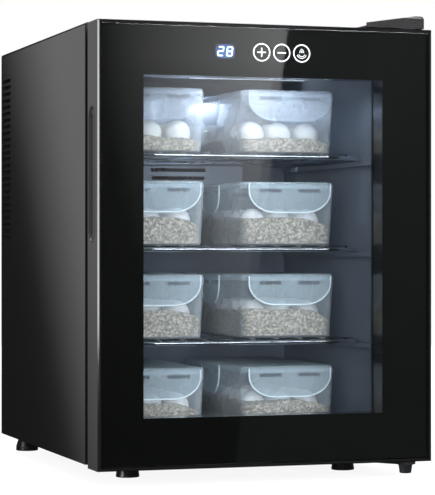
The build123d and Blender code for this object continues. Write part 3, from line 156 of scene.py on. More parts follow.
def loose_parts(node):
    """Lowest corner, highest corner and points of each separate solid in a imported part."""
    shell = bmesh.new()
    shell.from_mesh(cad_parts[node].data)
    bmesh.ops.remove_doubles(shell, verts=shell.verts, dist=1e-6)
    seen, found = set(), []
    for start in shell.verts:
        if start in seen:
            continue
        seen.add(start)
        stack, island = [start], []
        while stack:
            vertex = stack.pop()
            island.append(vertex.co.copy())
            for edge in vertex.link_edges:
                other = edge.other_vert(vertex)
                if other not in seen:
                    seen.add(other)
                    stack.append(other)
        low = Vector([min(co[i] for co in island) for i in range(3)])
        high = Vector([max(co[i] for co in island) for i in range(3)])
        found.append((low, high, island))
    shell.free()
    return found


def finish_parts(material, *names):
    """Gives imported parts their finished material."""
    for name in names:
        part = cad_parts[name]
        part.data.materials.clear()
        part.data.materials.append(material)
    print(material.name, "on", ", ".join(names))


print("black at 10%:", [round(c, 4) for c in linear("#1A1A1A")])

# %% [markdown]
# ## Materials: coated steel
# The wrap is cold-rolled steel with a satin black powder coat. Baked powder flows into a faint
# orange peel, so its shine is soft, with small waves a few millimetres wide. The hidden brackets
# have the same coat, matter. Paint is a dielectric: metallic 0, IOR about 1.5.

# %% Powder-coated and galvanised steel
def powder_coat(name, colour, roughness, peel_mm, peel):
    material, tree = start_material(name)
    place = add(tree, "ShaderNodeTexCoord").outputs["Object"]
    waves = add(tree, "ShaderNodeTexNoise", {
        "Vector": place, "Scale": per_mm(peel_mm), "Detail": 2.0})
    cloud = add(tree, "ShaderNodeTexNoise", {
        "Vector": place, "Scale": per_mm(90.0), "Detail": 3.0})
    rough = add(tree, "ShaderNodeMapRange", {
        "Value": cloud.outputs["Fac"], "To Min": roughness * 0.9, "To Max": roughness * 1.15})
    bump = add(tree, "ShaderNodeBump", {
        "Height": waves.outputs["Fac"], "Strength": peel, "Distance": 0.02 * MM})
    paint = add(tree, "ShaderNodeBsdfPrincipled", {
        "Base Color": linear(colour), "Roughness": rough.outputs["Result"], "IOR": 1.5,
        "Normal": bump.outputs["Normal"]})
    add(tree, "ShaderNodeOutputMaterial", {"Surface": paint.outputs["BSDF"]})
    return material


satin_coat = powder_coat("steel_powder_coated_satin_black", "#111112", 0.07, 3.0, 0.3)
matt_coat = powder_coat("steel_powder_coated_matt_black", "#1B1B1C", 0.55, 2.0, 0.7)

galvanised, tree = start_material("steel_galvanised")
place = add(tree, "ShaderNodeTexCoord").outputs["Object"]
spangle = add(tree, "ShaderNodeTexVoronoi", {"Vector": place, "Scale": per_mm(9.0)})
shade = add(tree, "ShaderNodeValToRGB", {"Fac": spangle.outputs["Distance"]})
shade.color_ramp.elements[0].color = linear("#B9BDC0")
shade.color_ramp.elements[1].color = linear("#8F9598")
zinc_rough = add(tree, "ShaderNodeMapRange", {
    "Value": spangle.outputs["Distance"], "To Min": 0.32, "To Max": 0.5})
zinc = add(tree, "ShaderNodeBsdfPrincipled", {
    "Base Color": shade.outputs["Color"], "Metallic": 1.0,
    "Roughness": zinc_rough.outputs["Result"]})
add(tree, "ShaderNodeOutputMaterial", {"Surface": zinc.outputs["BSDF"]})

finish_parts(satin_coat, "outer_wrap")
finish_parts(matt_coat, "base_plate", "upper_hinge_bracket", "lower_hinge_bracket")
finish_parts(galvanised, "rear_bulkhead")

# %% [markdown]
# ## Materials: moulded plastics
# The door frame, the hinge cover, the feet, the fans and the rear cover are injection moulded.
# The mould's surface decides the shine: polished steel gives gloss, spark erosion gives a fine
# matt grain. One recipe serves them all, with the colour, the shine and the grain as its sizes.

# %% Moulded plastics
def moulded(name, colour, roughness, grain_mm, grain, ior=1.52):
    material, tree = start_material(name)
    place = add(tree, "ShaderNodeTexCoord").outputs["Object"]
    erosion = add(tree, "ShaderNodeTexNoise", {
        "Vector": place, "Scale": per_mm(grain_mm), "Detail": 3.0, "Roughness": 0.6})
    flow = add(tree, "ShaderNodeTexNoise", {
        "Vector": place, "Scale": per_mm(60.0), "Detail": 2.0})
    rough = add(tree, "ShaderNodeMapRange", {
        "Value": flow.outputs["Fac"], "To Min": roughness * 0.9, "To Max": roughness * 1.15})
    shade = add(tree, "ShaderNodeMapRange", {
        "Value": flow.outputs["Fac"], "To Min": 0.94, "To Max": 1.06})
    tint = add(tree, "ShaderNodeHueSaturation", {
        "Color": linear(colour), "Value": shade.outputs["Result"]})
    bump = add(tree, "ShaderNodeBump", {
        "Height": erosion.outputs["Fac"], "Strength": grain, "Distance": 0.03 * MM})
    plastic = add(tree, "ShaderNodeBsdfPrincipled", {
        "Base Color": tint.outputs["Color"], "Roughness": rough.outputs["Result"], "IOR": ior,
        "Normal": bump.outputs["Normal"]})
    add(tree, "ShaderNodeOutputMaterial", {"Surface": plastic.outputs["BSDF"]})
    return material


door_plastic = moulded("abs_moulded_door_frame", "#0C0C0D", 0.12, 1.5, 0.05, 1.42)
# The handle cup is a lighter grey than the door frame: painted light, so the scoop's floor shows as
# a lighter strip.
cup_plastic_painted_light = moulded("abs_moulded_satin_handle_cup_painted_light", "#2B2B2D", 0.3, 1.5, 0.1)
cover_plastic = moulded("abs_moulded_satin_hinge_cover", "#131314", 0.25, 2.0, 0.1)
grained_plastic = moulded("abs_moulded_grained_black", "#19191A", 0.45, 1.2, 0.8)
foot_plastic = moulded("nylon_moulded_black_feet", "#0E0E0F", 0.32, 1.5, 0.4)
fan_plastic = moulded("pbt_moulded_fan_black", "#1A1A1C", 0.38, 1.5, 0.4)
liner_plastic = moulded("polystyrene_formed_grey_liner", "#666E7A", 0.33, 2.5, 0.35)
# The duct is a lighter grey than the liner: painted light for the lamp-lit back wall.
duct_plastic_painted_light = moulded("polystyrene_moulded_duct_painted_light", "#8E97A4", 0.35, 2.5, 0.3)
door_liner_plastic = moulded(
    "polystyrene_formed_dark_door_liner", "#0C0D0F", 0.4, 2.5, 0.35)
acetal = moulded("acetal_turned_white_bush", "#D9D8D2", 0.4, 1.0, 0.2, 1.48)
ceramic = moulded("alumina_pressed_white_plates", "#E9E8E2", 0.55, 0.8, 0.3, 1.7)

# The liner's front flange, outside the chamber's mouth, is coloured near black: painted shade for
# the dark gap behind the seal.
flange_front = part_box("inner_liner")[0].y
tree, place, plastic = open_material(liner_plastic)
grey = plastic.inputs["Base Color"].links[0].from_socket
depth_in = add(tree, "ShaderNodeSeparateXYZ", {"Vector": place})
flange_shade_ramp = add(tree, "ShaderNodeMapRange", {
    "Value": depth_in.outputs["Y"],
    "From Min": flange_front + 1.0 * MM, "From Max": flange_front + 5.0 * MM})
# Painted shade: near black on the flange, fading to the liner's grey over 4 mm inside the mouth.
flange_painted_shade = add(tree, "ShaderNodeMix", {
    "Factor": flange_shade_ramp.outputs["Result"], "A": linear("#0A0A0B"), "B": grey}, data_type="RGBA")
tree.links.new(flange_painted_shade.outputs["Result"], plastic.inputs["Base Color"])

finish_parts(door_plastic, "door_frame")
finish_parts(cup_plastic_painted_light, "handle_cup")
finish_parts(cover_plastic, "upper_hinge_cover")
finish_parts(grained_plastic, "rear_cover", "mains_inlet", "temperature_probe")
finish_parts(foot_plastic, "left_front_foot", "right_front_foot", "rear_feet")
finish_parts(
    fan_plastic, "inner_fan_frame", "inner_fan_rotor", "outer_fan_frame", "outer_fan_rotor")
finish_parts(liner_plastic, "inner_liner", "lamp_housing")
finish_parts(duct_plastic_painted_light, "duct_cover", "duct_clips")
finish_parts(door_liner_plastic, "door_liner")
finish_parts(acetal, "hinge_bushes")
finish_parts(ceramic, "thermoelectric_module")

# %% [markdown]
# ## Materials: foam, rubber, metal and boards
# Rigid foam shows its cells where it is cut. The seal is soft vinyl with a dull bloom. The fin
# sinks are extruded aluminium with die lines along the fins, the pins and screws are bright
# steel, the shelves are chromed wire, and the boards have green solder resist over copper tracks.

# %% Foam, rubber, metals and circuit boards
foam, tree = start_material("polyurethane_foamed_cream")
place = add(tree, "ShaderNodeTexCoord").outputs["Object"]
cells = add(tree, "ShaderNodeTexVoronoi", {"Vector": place, "Scale": per_mm(1.6)})
foam_shade = add(tree, "ShaderNodeValToRGB", {"Fac": cells.outputs["Distance"]})
foam_shade.color_ramp.elements[0].color = linear("#C9B57F")
foam_shade.color_ramp.elements[1].color = linear("#EBDCAE")
pits = add(tree, "ShaderNodeBump", {
    "Height": cells.outputs["Distance"], "Strength": 0.8, "Distance": 0.3 * MM})
body = add(tree, "ShaderNodeBsdfPrincipled", {
    "Base Color": foam_shade.outputs["Color"], "Roughness": 0.85, "IOR": 1.45,
    "Normal": pits.outputs["Normal"]})
add(tree, "ShaderNodeOutputMaterial", {"Surface": body.outputs["BSDF"]})

seal_vinyl, tree = start_material("vinyl_extruded_black_seal")
place = add(tree, "ShaderNodeTexCoord").outputs["Object"]
bloom = add(tree, "ShaderNodeTexNoise", {"Vector": place, "Scale": per_mm(12.0), "Detail": 5.0})
vinyl_shade = add(tree, "ShaderNodeValToRGB", {"Fac": bloom.outputs["Fac"]})
vinyl_shade.color_ramp.elements[0].color = linear("#101011")
vinyl_shade.color_ramp.elements[1].color = linear("#202123")
body = add(tree, "ShaderNodeBsdfPrincipled", {
    "Base Color": vinyl_shade.outputs["Color"], "Roughness": 0.6, "IOR": 1.52})
add(tree, "ShaderNodeOutputMaterial", {"Surface": body.outputs["BSDF"]})


def drawn_metal(name, colour, roughness, stretch, line_mm, depth):
    """A metal whose fine lines run along the axis that stretch flattens."""
    material, tree = start_material(name)
    place = add(tree, "ShaderNodeTexCoord").outputs["Object"]
    along = add(tree, "ShaderNodeMapping", {"Vector": place, "Scale": stretch})
    lines = add(tree, "ShaderNodeTexNoise", {
        "Vector": along.outputs["Vector"], "Scale": per_mm(line_mm), "Detail": 4.0})
    rough = add(tree, "ShaderNodeMapRange", {
        "Value": lines.outputs["Fac"], "To Min": roughness * 0.75, "To Max": roughness * 1.3})
    bump = add(tree, "ShaderNodeBump", {
        "Height": lines.outputs["Fac"], "Strength": depth, "Distance": 0.02 * MM})
    metal = add(tree, "ShaderNodeBsdfPrincipled", {
        "Base Color": linear(colour), "Metallic": 1.0, "Roughness": rough.outputs["Result"],
        "Normal": bump.outputs["Normal"]})
    add(tree, "ShaderNodeOutputMaterial", {"Surface": metal.outputs["BSDF"]})
    return material


extruded_aluminium = drawn_metal(
    "aluminium_extruded_sink", "#C9CCCE", 0.3, (1.0, 1.0, 0.04), 0.8, 0.6)
plain_steel = drawn_metal("steel_turned_pin", "#A3A5A7", 0.3, (1.0, 1.0, 8.0), 1.2, 0.4)
screw_steel = drawn_metal("steel_zinc_plated_screw", "#B4B6B5", 0.28, (1.0, 1.0, 1.0), 1.0, 0.3)
chrome = drawn_metal("steel_wire_chrome_plated", "#DDE2E8", 0.17, (0.2, 0.2, 1.0), 3.0, 0.02)

board, tree = start_material("circuit_board_green_resist")
place = add(tree, "ShaderNodeTexCoord").outputs["Object"]
tracks = add(tree, "ShaderNodeTexBrick", {
    "Vector": place, "Scale": per_mm(30.0), "Color1": linear("#0F4A2B"),
    "Color2": linear("#125633"), "Mortar": linear("#1F7A49"), "Mortar Size": 0.012})
body = add(tree, "ShaderNodeBsdfPrincipled", {
    "Base Color": tracks.outputs["Color"], "Roughness": 0.35, "IOR": 1.55})
add(tree, "ShaderNodeOutputMaterial", {"Surface": body.outputs["BSDF"]})

finish_parts(foam, "foam_insulation", "door_foam")
finish_parts(extruded_aluminium, "inner_heat_sink", "outer_heat_sink", "transfer_block")
finish_parts(plain_steel, "hinge_pins")
finish_parts(chrome, "shelf_2", "shelf_3", "shelf_4")
finish_parts(board, "control_board", "power_board")

# %% [markdown]
# ## Materials: door glass and its print
# The outer pane is toughened float glass with a black ceramic print fired on its back, so the
# border looks deep and glossy. Clear glass only mirrors a few percent straight on and more at a
# slant: a see-through shader mixed with a mirror by Fresnel shows that, and lets the lamps shine
# through without noise.

# %% Glass and enamel print
def float_glass(name, tint):
    material, tree = start_material(name)
    clear = add(tree, "ShaderNodeBsdfTransparent", {"Color": linear(tint)})
    mirror = add(tree, "ShaderNodeBsdfPrincipled", {
        "Base Color": linear("#FFFFFF"), "Metallic": 1.0, "Roughness": 0.015})
    slant = add(tree, "ShaderNodeFresnel", {"IOR": 1.52})
    glass = add(tree, "ShaderNodeMixShader", {
        "Fac": slant.outputs["Fac"], 1: clear.outputs["BSDF"], 2: mirror.outputs["BSDF"]})
    add(tree, "ShaderNodeOutputMaterial", {"Surface": glass.outputs["Shader"]})
    return material


outer_float = float_glass("glass_float_toughened_outer", "#FCFDFD")
inner_float = float_glass("glass_float_toughened_inner", "#FBFCFD")

enamel, tree = start_material("ceramic_enamel_print_black")
place = add(tree, "ShaderNodeTexCoord").outputs["Object"]
screen = add(tree, "ShaderNodeTexNoise", {"Vector": place, "Scale": per_mm(4.0), "Detail": 2.0})
ink = add(tree, "ShaderNodeValToRGB", {"Fac": screen.outputs["Fac"]})
ink.color_ramp.elements[0].color = linear("#030403")
ink.color_ramp.elements[1].color = linear("#060606")
body = add(tree, "ShaderNodeBsdfPrincipled", {
    "Base Color": ink.outputs["Color"], "Roughness": 0.5, "IOR": 1.5, "Specular IOR Level": 0.1})
add(tree, "ShaderNodeOutputMaterial", {"Surface": body.outputs["BSDF"]})

finish_parts(enamel, "glass_border")
finish_parts(inner_float, "inner_glass")

# %% [markdown]
# ## Materials: clear tubs and frosted lids
# Tubs are moulded from clear polystyrene and the lids from softer polypropylene, which looks
# milky. A thin clear wall is mostly see-through, but its edges gather light and look pale, so the
# share of plastic grows where the wall is seen at a slant.

# %% Clear tubs and milky lids
def clear_plastic(name, colour, flat_share, edge_share, roughness):
    material, tree = start_material(name)
    place = add(tree, "ShaderNodeTexCoord").outputs["Object"]
    haze = add(tree, "ShaderNodeTexNoise", {"Vector": place, "Scale": per_mm(25.0), "Detail": 3.0})
    slant = add(tree, "ShaderNodeLayerWeight", {"Blend": 0.35})
    share = add(tree, "ShaderNodeMapRange", {
        "Value": slant.outputs["Facing"], "To Min": flat_share, "To Max": edge_share})
    level = add(tree, "ShaderNodeMapRange", {
        "Value": haze.outputs["Fac"], "To Min": 0.8, "To Max": 1.2})
    hazy = add(tree, "ShaderNodeMath", {
        0: share.outputs["Result"], 1: level.outputs["Result"]}, operation="MULTIPLY")
    clear = add(tree, "ShaderNodeBsdfTransparent", {"Color": linear("#FAFCFF")})
    front = add(tree, "ShaderNodeBsdfPrincipled", {
        "Base Color": linear(colour), "Roughness": roughness, "IOR": 1.55})
    back_lit = add(tree, "ShaderNodeBsdfTranslucent", {"Color": linear(colour)})
    plastic = add(tree, "ShaderNodeMixShader", {
        "Fac": 0.35, 1: front.outputs["BSDF"], 2: back_lit.outputs["BSDF"]})
    wall = add(tree, "ShaderNodeMixShader", {
        "Fac": hazy.outputs["Value"], 1: clear.outputs["BSDF"], 2: plastic.outputs["Shader"]})
    add(tree, "ShaderNodeOutputMaterial", {"Surface": wall.outputs["Shader"]})
    return material


tub_plastic = clear_plastic("polystyrene_moulded_clear_tub", "#CCD3D8", 0.1, 0.6, 0.12)
lid_plastic = clear_plastic("polypropylene_moulded_milky_lid", "#C6D4DA", 0.24, 0.72, 0.25)
top_lid_plastic = clear_plastic("polypropylene_moulded_clear_lid", "#CDD6DE", 0.15, 0.62, 0.2)
# Painted highlight: the bead's near-white, nearly opaque plastic stands for the bright line that
# light makes along it.
bead_plastic_painted_highlight = clear_plastic("polypropylene_moulded_thick_bead_painted_highlight", "#F6FBFD", 0.9, 1.0, 0.2)
levels = range(1, 5)
finish_parts(tub_plastic, *[f"level_{n}_tubs" for n in levels])
finish_parts(lid_plastic, *[f"level_{n}_lids" for n in (1, 2, 3)])
finish_parts(top_lid_plastic, "level_4_lids")

# %% [markdown]
# ## Materials: lamp lenses and display
# Each lamp is a row of cool white light-emitting diodes behind a frosted lens. The lens in the
# duct is brightest in front of its diodes and fades towards its rim. The thin lens under the
# ceiling glows faintly. The display has a smoky blue face that its digits light up, and that
# glow fades from the digits outwards in the same way, so one function fades both.

# %% Glowing lenses and display face
def glowing(name, colour, glow, strength, roughness):
    material, tree = start_material(name)
    place = add(tree, "ShaderNodeTexCoord").outputs["Object"]
    diodes = add(tree, "ShaderNodeTexNoise", {
        "Vector": place, "Scale": per_mm(10.0), "Detail": 1.0})
    level = add(tree, "ShaderNodeMapRange", {
        "Value": diodes.outputs["Fac"], "To Min": strength * 0.9, "To Max": strength * 1.1})
    body = add(tree, "ShaderNodeBsdfPrincipled", {
        "Base Color": linear(colour), "Roughness": roughness, "IOR": 1.58,
        "Emission Color": linear(glow), "Emission Strength": level.outputs["Result"]})
    add(tree, "ShaderNodeOutputMaterial", {"Surface": body.outputs["BSDF"]})
    return material


def fade_from_middle(tree, place, low, high, start, end, rest):
    """
    Share of a glow at a place on a box's front. It is 1 at the middle and falls to rest between
    two distances from there, as shares of the way to the sides.
    """
    middle = (low + high) / 2
    offset = add(tree, "ShaderNodeVectorMath", {
        0: place, 1: (middle.x, 0.0, middle.z)}, operation="SUBTRACT")
    squash = add(tree, "ShaderNodeVectorMath", {
        0: offset.outputs["Vector"], 1: (2 / (high.x - low.x), 0.0, 2 / (high.z - low.z))},
        operation="MULTIPLY")
    spread = add(tree, "ShaderNodeVectorMath", {0: squash.outputs["Vector"]}, operation="LENGTH")
    return add(tree, "ShaderNodeMapRange", {
        "Value": spread.outputs["Value"], "From Min": start, "From Max": end,
        "To Min": 1.0, "To Max": rest}, interpolation_type="SMOOTHERSTEP").outputs["Result"]


def dim_glow(tree, shader, share):
    """Multiplies a shader's glow by a share that changes over the surface."""
    even = shader.inputs["Emission Strength"].links[0].from_socket
    dimmed = add(tree, "ShaderNodeMath", {0: even, 1: share}, operation="MULTIPLY")
    tree.links.new(dimmed.outputs["Value"], shader.inputs["Emission Strength"])


lens_glow = glowing("polycarbonate_frosted_lens_lit", "#F0F4FA", "#F6FAFF", 8.0, 0.4)
ceiling_lens, *_, rear_lens = sorted(loose_parts("lamp_lens"), key=lambda lens: lens[0].y)
tree, place, plastic = open_material(lens_glow)
fade = fade_from_middle(tree, place, rear_lens[0], rear_lens[1], 0.1, 1.05, 0.04)
ceiling_share = 0.08
depth_in = add(tree, "ShaderNodeSeparateXYZ", {"Vector": place})
front_to_rear = add(tree, "ShaderNodeMapRange", {
    "Value": depth_in.outputs["Y"], "From Min": -0.1, "From Max": 0.0,
    "To Min": ceiling_share, "To Max": fade})
dim_glow(tree, plastic, front_to_rear.outputs["Result"])

display_face = glowing("display_face_blue_lit", "#0A0E18", "#4C7CC4", 0.85, 0.3)
display_low, display_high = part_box("display_module")
tree, place, plastic = open_material(display_face)
dim_glow(tree, plastic, fade_from_middle(
    tree, place, display_low, display_high, 0.6, 1.35, 0.0))
finish_parts(lens_glow, "lamp_lens")
finish_parts(display_face, "display_module")

# %% [markdown]
# ## The outer pane
# The pane is a slab of 4 mm glass with ground edges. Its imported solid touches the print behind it,
# and two faces in one place would fight for the light, so a pane that stops a hair short of the
# print replaces it. Its corners and front edges are rounded as grinding leaves them.

# %% Outer pane with ground edges
def slab(name, low, high, bevel, segments):
    """A block whose edges are all rounded by bevel."""
    vertices = [(x, y, z) for x in (low[0], high[0]) for y in (low[1], high[1])
                for z in (low[2], high[2])]
    faces = [(0, 1, 3, 2), (4, 6, 7, 5), (0, 4, 5, 1), (2, 3, 7, 6), (0, 2, 6, 4), (1, 5, 7, 3)]
    mesh = mesh_from(name, vertices, faces)
    edit_mesh(mesh, lambda shell: bmesh.ops.bevel(
        shell, geom=shell.edges[:], offset=bevel, segments=segments, affect="EDGES", profile=0.5))
    return mesh


glass_low, glass_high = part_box("outer_glass")
print_gap = 0.3 * MM
ground_edge = 0.6 * MM
pane_back = glass_high.y - print_gap
pane = new_object(
    "door_pane",
    slab("door_pane", glass_low, (glass_high.x, pane_back, glass_high.z), ground_edge, 3),
    outer_float)
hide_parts("outer_glass")
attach(pane, "door")
print("pane:", [round(v * 1000, 1) for v in pane.dimensions], "mm")

# %% [markdown]
# ## Keys and display digits
# The three touch keys are white rings printed on the back of the glass with a sign in each, and a
# display shows the temperature in two lit digits. Each mark is a flat ribbon a tenth of a
# millimetre thick, drawn along its line, which keeps its edges crisp at any size.

# %% Ribbons for the printed marks
mark_planes = (pane_back + 0.08 * MM, pane_back + 0.18 * MM)  # front and back of the ink


def ribbon(points, width, closed=False, planes=mark_planes):
    """Vertices and faces of a flat ribbon along points (x, z), between two planes."""
    count = len(points)
    sides = []
    for i, point in enumerate(points):
        before = points[i - 1] if i > 0 or closed else point
        after = points[(i + 1) % count] if i < count - 1 or closed else point
        run = Vector((after[0] - before[0], after[1] - before[1])).normalized()
        across = Vector((-run.y, run.x)) * width / 2
        sides.append((Vector(point) + across, Vector(point) - across))
    vertices = [(p.x, y, p.y) for pair in sides for y in planes for p in pair]
    faces = []
    links = count if closed else count - 1
    for i in range(links):
        a, b = 4 * i, 4 * ((i + 1) % count)
        faces += [(a, a + 1, b + 1, b), (a + 2, b + 2, b + 3, a + 3),
                  (a, b, b + 2, a + 2), (a + 1, a + 3, b + 3, b + 1)]
    if not closed:
        last = 4 * (count - 1)
        faces += [(0, 2, 3, 1), (last, last + 1, last + 3, last + 2)]
    return vertices, faces


def arc(x, z, radius, start, end, steps):
    """Points on an arc, angles in degrees from the right, anticlockwise as seen from the front."""
    angles = [math.radians(start + (end - start) * i / steps) for i in range(steps + 1)]
    return [(x + radius * math.cos(a), z + radius * math.sin(a)) for a in angles]


def marks(name, ribbons, material):
    """One piece from several ribbons."""
    return new_object(name, mesh_from(name, *joined(ribbons)), material)


# %% The three key marks
key_print, tree = start_material("ceramic_ink_printed_white_lit")
place = add(tree, "ShaderNodeTexCoord").outputs["Object"]
mesh_dots = add(tree, "ShaderNodeTexNoise", {
    "Vector": place, "Scale": per_mm(1.5), "Detail": 1.0})
lit = add(tree, "ShaderNodeMapRange", {
    "Value": mesh_dots.outputs["Fac"], "To Min": 0.36, "To Max": 0.54})
body = add(tree, "ShaderNodeBsdfPrincipled", {
    "Base Color": linear("#C9CACC"), "Roughness": 0.5, "IOR": 1.5,
    "Emission Color": linear("#F4F7FA"), "Emission Strength": lit.outputs["Result"]})
add(tree, "ShaderNodeOutputMaterial", {"Surface": body.outputs["BSDF"]})

control_z = (display_low.z + display_high.z) / 2
key_pitch = 20.8 * MM
last_key_inset = 12.6 * MM  # from the right end of the keys' board
line, thin = 1.2 * MM, 0.6 * MM
ring_radius, ring_points = 8.3 * MM, 48
arm = 4.4 * MM  # half the length of the plus and of the minus
lamp_shade = [
    (-2.2, 0.4), (-1.7, 2.2), (-0.9, 3.6), (0.0, 4.1), (0.9, 3.6), (1.7, 2.2), (2.2, 0.4)]
bulb_low, bulb_high = 0.6 * MM, 2.4 * MM
ray_radii, rays_below = (3.5 * MM, 5.2 * MM), 0.4 * MM

last_key_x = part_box("control_board")[1].x - last_key_inset
key_xs = [last_key_x - 2 * key_pitch, last_key_x - key_pitch, last_key_x]
plus_x, minus_x, lamp_x = key_xs
ribbons = []
for x in key_xs:
    ring = arc(x, control_z, ring_radius, 0, 360 - 360 / ring_points, ring_points - 1)
    ribbons.append(ribbon(ring, line, closed=True))
for x in (plus_x, minus_x):
    ribbons.append(ribbon([(x - arm, control_z), (x + arm, control_z)], line))
for side in (-1, 1):
    ribbons.append(ribbon(
        [(plus_x, control_z + side * line / 2), (plus_x, control_z + side * arm)], line))
ribbons.append(ribbon([(lamp_x + x * MM, control_z + z * MM) for x, z in lamp_shade], thin))
ribbons.append(ribbon([(lamp_x, control_z + bulb_low), (lamp_x, control_z + bulb_high)], line))
for radius in ray_radii:
    ribbons.append(ribbon(arc(lamp_x, control_z + rays_below, radius, 203, 337, 20), thin))
key_marks = marks("key_marks", ribbons, key_print)
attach(key_marks, "door")
print("key marks at x =", [round(x * 1000, 1) for x in key_xs], "mm")

# %% The digits 2 and 8
digit_light, tree = start_material("display_segments_lit_blue_white")
place = add(tree, "ShaderNodeTexCoord").outputs["Object"]
die = add(tree, "ShaderNodeTexNoise", {"Vector": place, "Scale": per_mm(3.0), "Detail": 1.0})
lit = add(tree, "ShaderNodeMapRange", {
    "Value": die.outputs["Fac"], "To Min": 1.1, "To Max": 1.5})
body = add(tree, "ShaderNodeBsdfPrincipled", {
    "Base Color": linear("#DCEBFF"), "Roughness": 0.4, "IOR": 1.5,
    "Emission Color": linear("#C4E4FF"), "Emission Strength": lit.outputs["Result"]})
add(tree, "ShaderNodeOutputMaterial", {"Surface": body.outputs["BSDF"]})

digit_width, digit_height = 5.2 * MM, 8.4 * MM
digit_lean = 0.06 * digit_height
digit_offset = 4.6 * MM  # from the display's middle to a digit's
segment_width, segment_gap = 1.15 * MM, 0.25 * MM
segment_planes = (display_low.y - 0.15 * MM, display_low.y - 0.03 * MM)


def digit(x, segments):
    """Ribbons of a seven-segment digit whose top leans to the right."""
    corners = {
        side + level: (x + across * digit_width / 2 + up * digit_lean,
                       control_z + up * digit_height / 2)
        for level, up in (("top", 1), ("middle", 0), ("bottom", -1))
        for side, across in (("left_", -1), ("right_", 1))}
    ends = {"a": ("left_top", "right_top"), "b": ("right_top", "right_middle"),
            "c": ("right_middle", "right_bottom"), "d": ("left_bottom", "right_bottom"),
            "e": ("left_middle", "left_bottom"), "f": ("left_top", "left_middle"),
            "g": ("left_middle", "right_middle")}
    made = []
    for key in segments:
        start, end = (Vector(corners[name]) for name in ends[key])
        step = (end - start).normalized() * segment_gap
        made.append(ribbon(
            [tuple(start + step), tuple(end - step)], segment_width, planes=segment_planes))
    return made


display_x = (display_low.x + display_high.x) / 2
digits = marks(
    "display_digits",
    digit(display_x - digit_offset, "abged") + digit(display_x + digit_offset, "abcdefg"),
    digit_light)
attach(digits, "door")
print("digits:", [round(v * 1000, 1) for v in digits.dimensions], "mm")

# %% [markdown]
# ## Working with Geometry Nodes
# What repeats or follows a path is grown by Geometry Nodes: eggs, vermiculite grains, screw heads
# and the bellows seal. Each tree has named inputs for its sizes and a fixed seed. The result is
# turned into a plain mesh, because instances are lost when the model is handed on.

# %% Helpers for geometry trees
def start_geometry(name, sockets):
    """A geometry tree with a Geometry input, the named inputs and a Geometry output."""
    tree = bpy.data.node_groups.new(name, "GeometryNodeTree")
    tree.interface.new_socket("Geometry", in_out="INPUT", socket_type="NodeSocketGeometry")
    for label, kind, value in sockets:
        socket = tree.interface.new_socket(label, in_out="INPUT", socket_type="NodeSocket" + kind)
        if value is not None:
            socket.default_value = value
    tree.interface.new_socket("Geometry", in_out="OUTPUT", socket_type="NodeSocketGeometry")
    return tree, tree.nodes.new("NodeGroupInput")


def end_geometry(tree, shape, material):
    """Ends a tree in Realize Instances and Set Material."""
    real = add(tree, "GeometryNodeRealizeInstances", {"Geometry": shape})
    coated = add(tree, "GeometryNodeSetMaterial", {"Geometry": real.outputs["Geometry"]})
    coated.inputs["Material"].default_value = material
    add(tree, "NodeGroupOutput", {"Geometry": coated.outputs["Geometry"]})


def grow(name, base, tree, values):
    """Runs a tree on a base mesh and returns the result as a plain object."""
    holder = new_object(name + "_base", base)
    modifier = holder.modifiers.new(tree.name, "NODES")
    modifier.node_group = tree
    for item in tree.interface.items_tree:
        if item.in_out == "INPUT" and item.name in values:
            modifier[item.identifier] = values[item.name]
    evaluated = holder.evaluated_get(bpy.context.evaluated_depsgraph_get())
    mesh = bpy.data.meshes.new_from_object(evaluated)
    mesh.name = name
    holder.modifiers.remove(modifier)
    bpy.data.objects.remove(holder)
    return new_object(name, mesh)


print("solids in level 1's tubs:", len(loose_parts("level_1_tubs")))

# %% [markdown]
# ## Eggs
# Reptile eggs are soft, off-white and oblong, with a chalky shell like parchment. Each one is a
# sphere that Geometry Nodes stretches into an egg and dimples a little. They lie in rows in the
# vermiculite, each turned its own way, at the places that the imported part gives.

# %% Egg shell and the tree that lays the eggs
egg_shell, tree = start_material("eggshell_soft_calcified")
place = add(tree, "ShaderNodeTexCoord").outputs["Object"]
mottle = add(tree, "ShaderNodeTexNoise", {"Vector": place, "Scale": per_mm(9.0), "Detail": 4.0})
shell_shade = add(tree, "ShaderNodeValToRGB", {"Fac": mottle.outputs["Fac"]})
shell_shade.color_ramp.elements[0].position = 0.3
shell_shade.color_ramp.elements[0].color = linear("#CFC9C0")
shell_shade.color_ramp.elements[1].position = 0.62
shell_shade.color_ramp.elements[1].color = linear("#E6E3DD")
pores = add(tree, "ShaderNodeTexNoise", {"Vector": place, "Scale": per_mm(1.0), "Detail": 2.0})
bump = add(tree, "ShaderNodeBump", {
    "Height": pores.outputs["Fac"], "Strength": 0.5, "Distance": 0.1 * MM})
body = add(tree, "ShaderNodeBsdfPrincipled", {
    "Base Color": shell_shade.outputs["Color"], "Roughness": 0.6, "IOR": 1.45,
    "Subsurface Weight": 0.15, "Subsurface Radius": (0.004, 0.003, 0.002),
    "Normal": bump.outputs["Normal"]})
add(tree, "ShaderNodeOutputMaterial", {"Surface": body.outputs["BSDF"]})

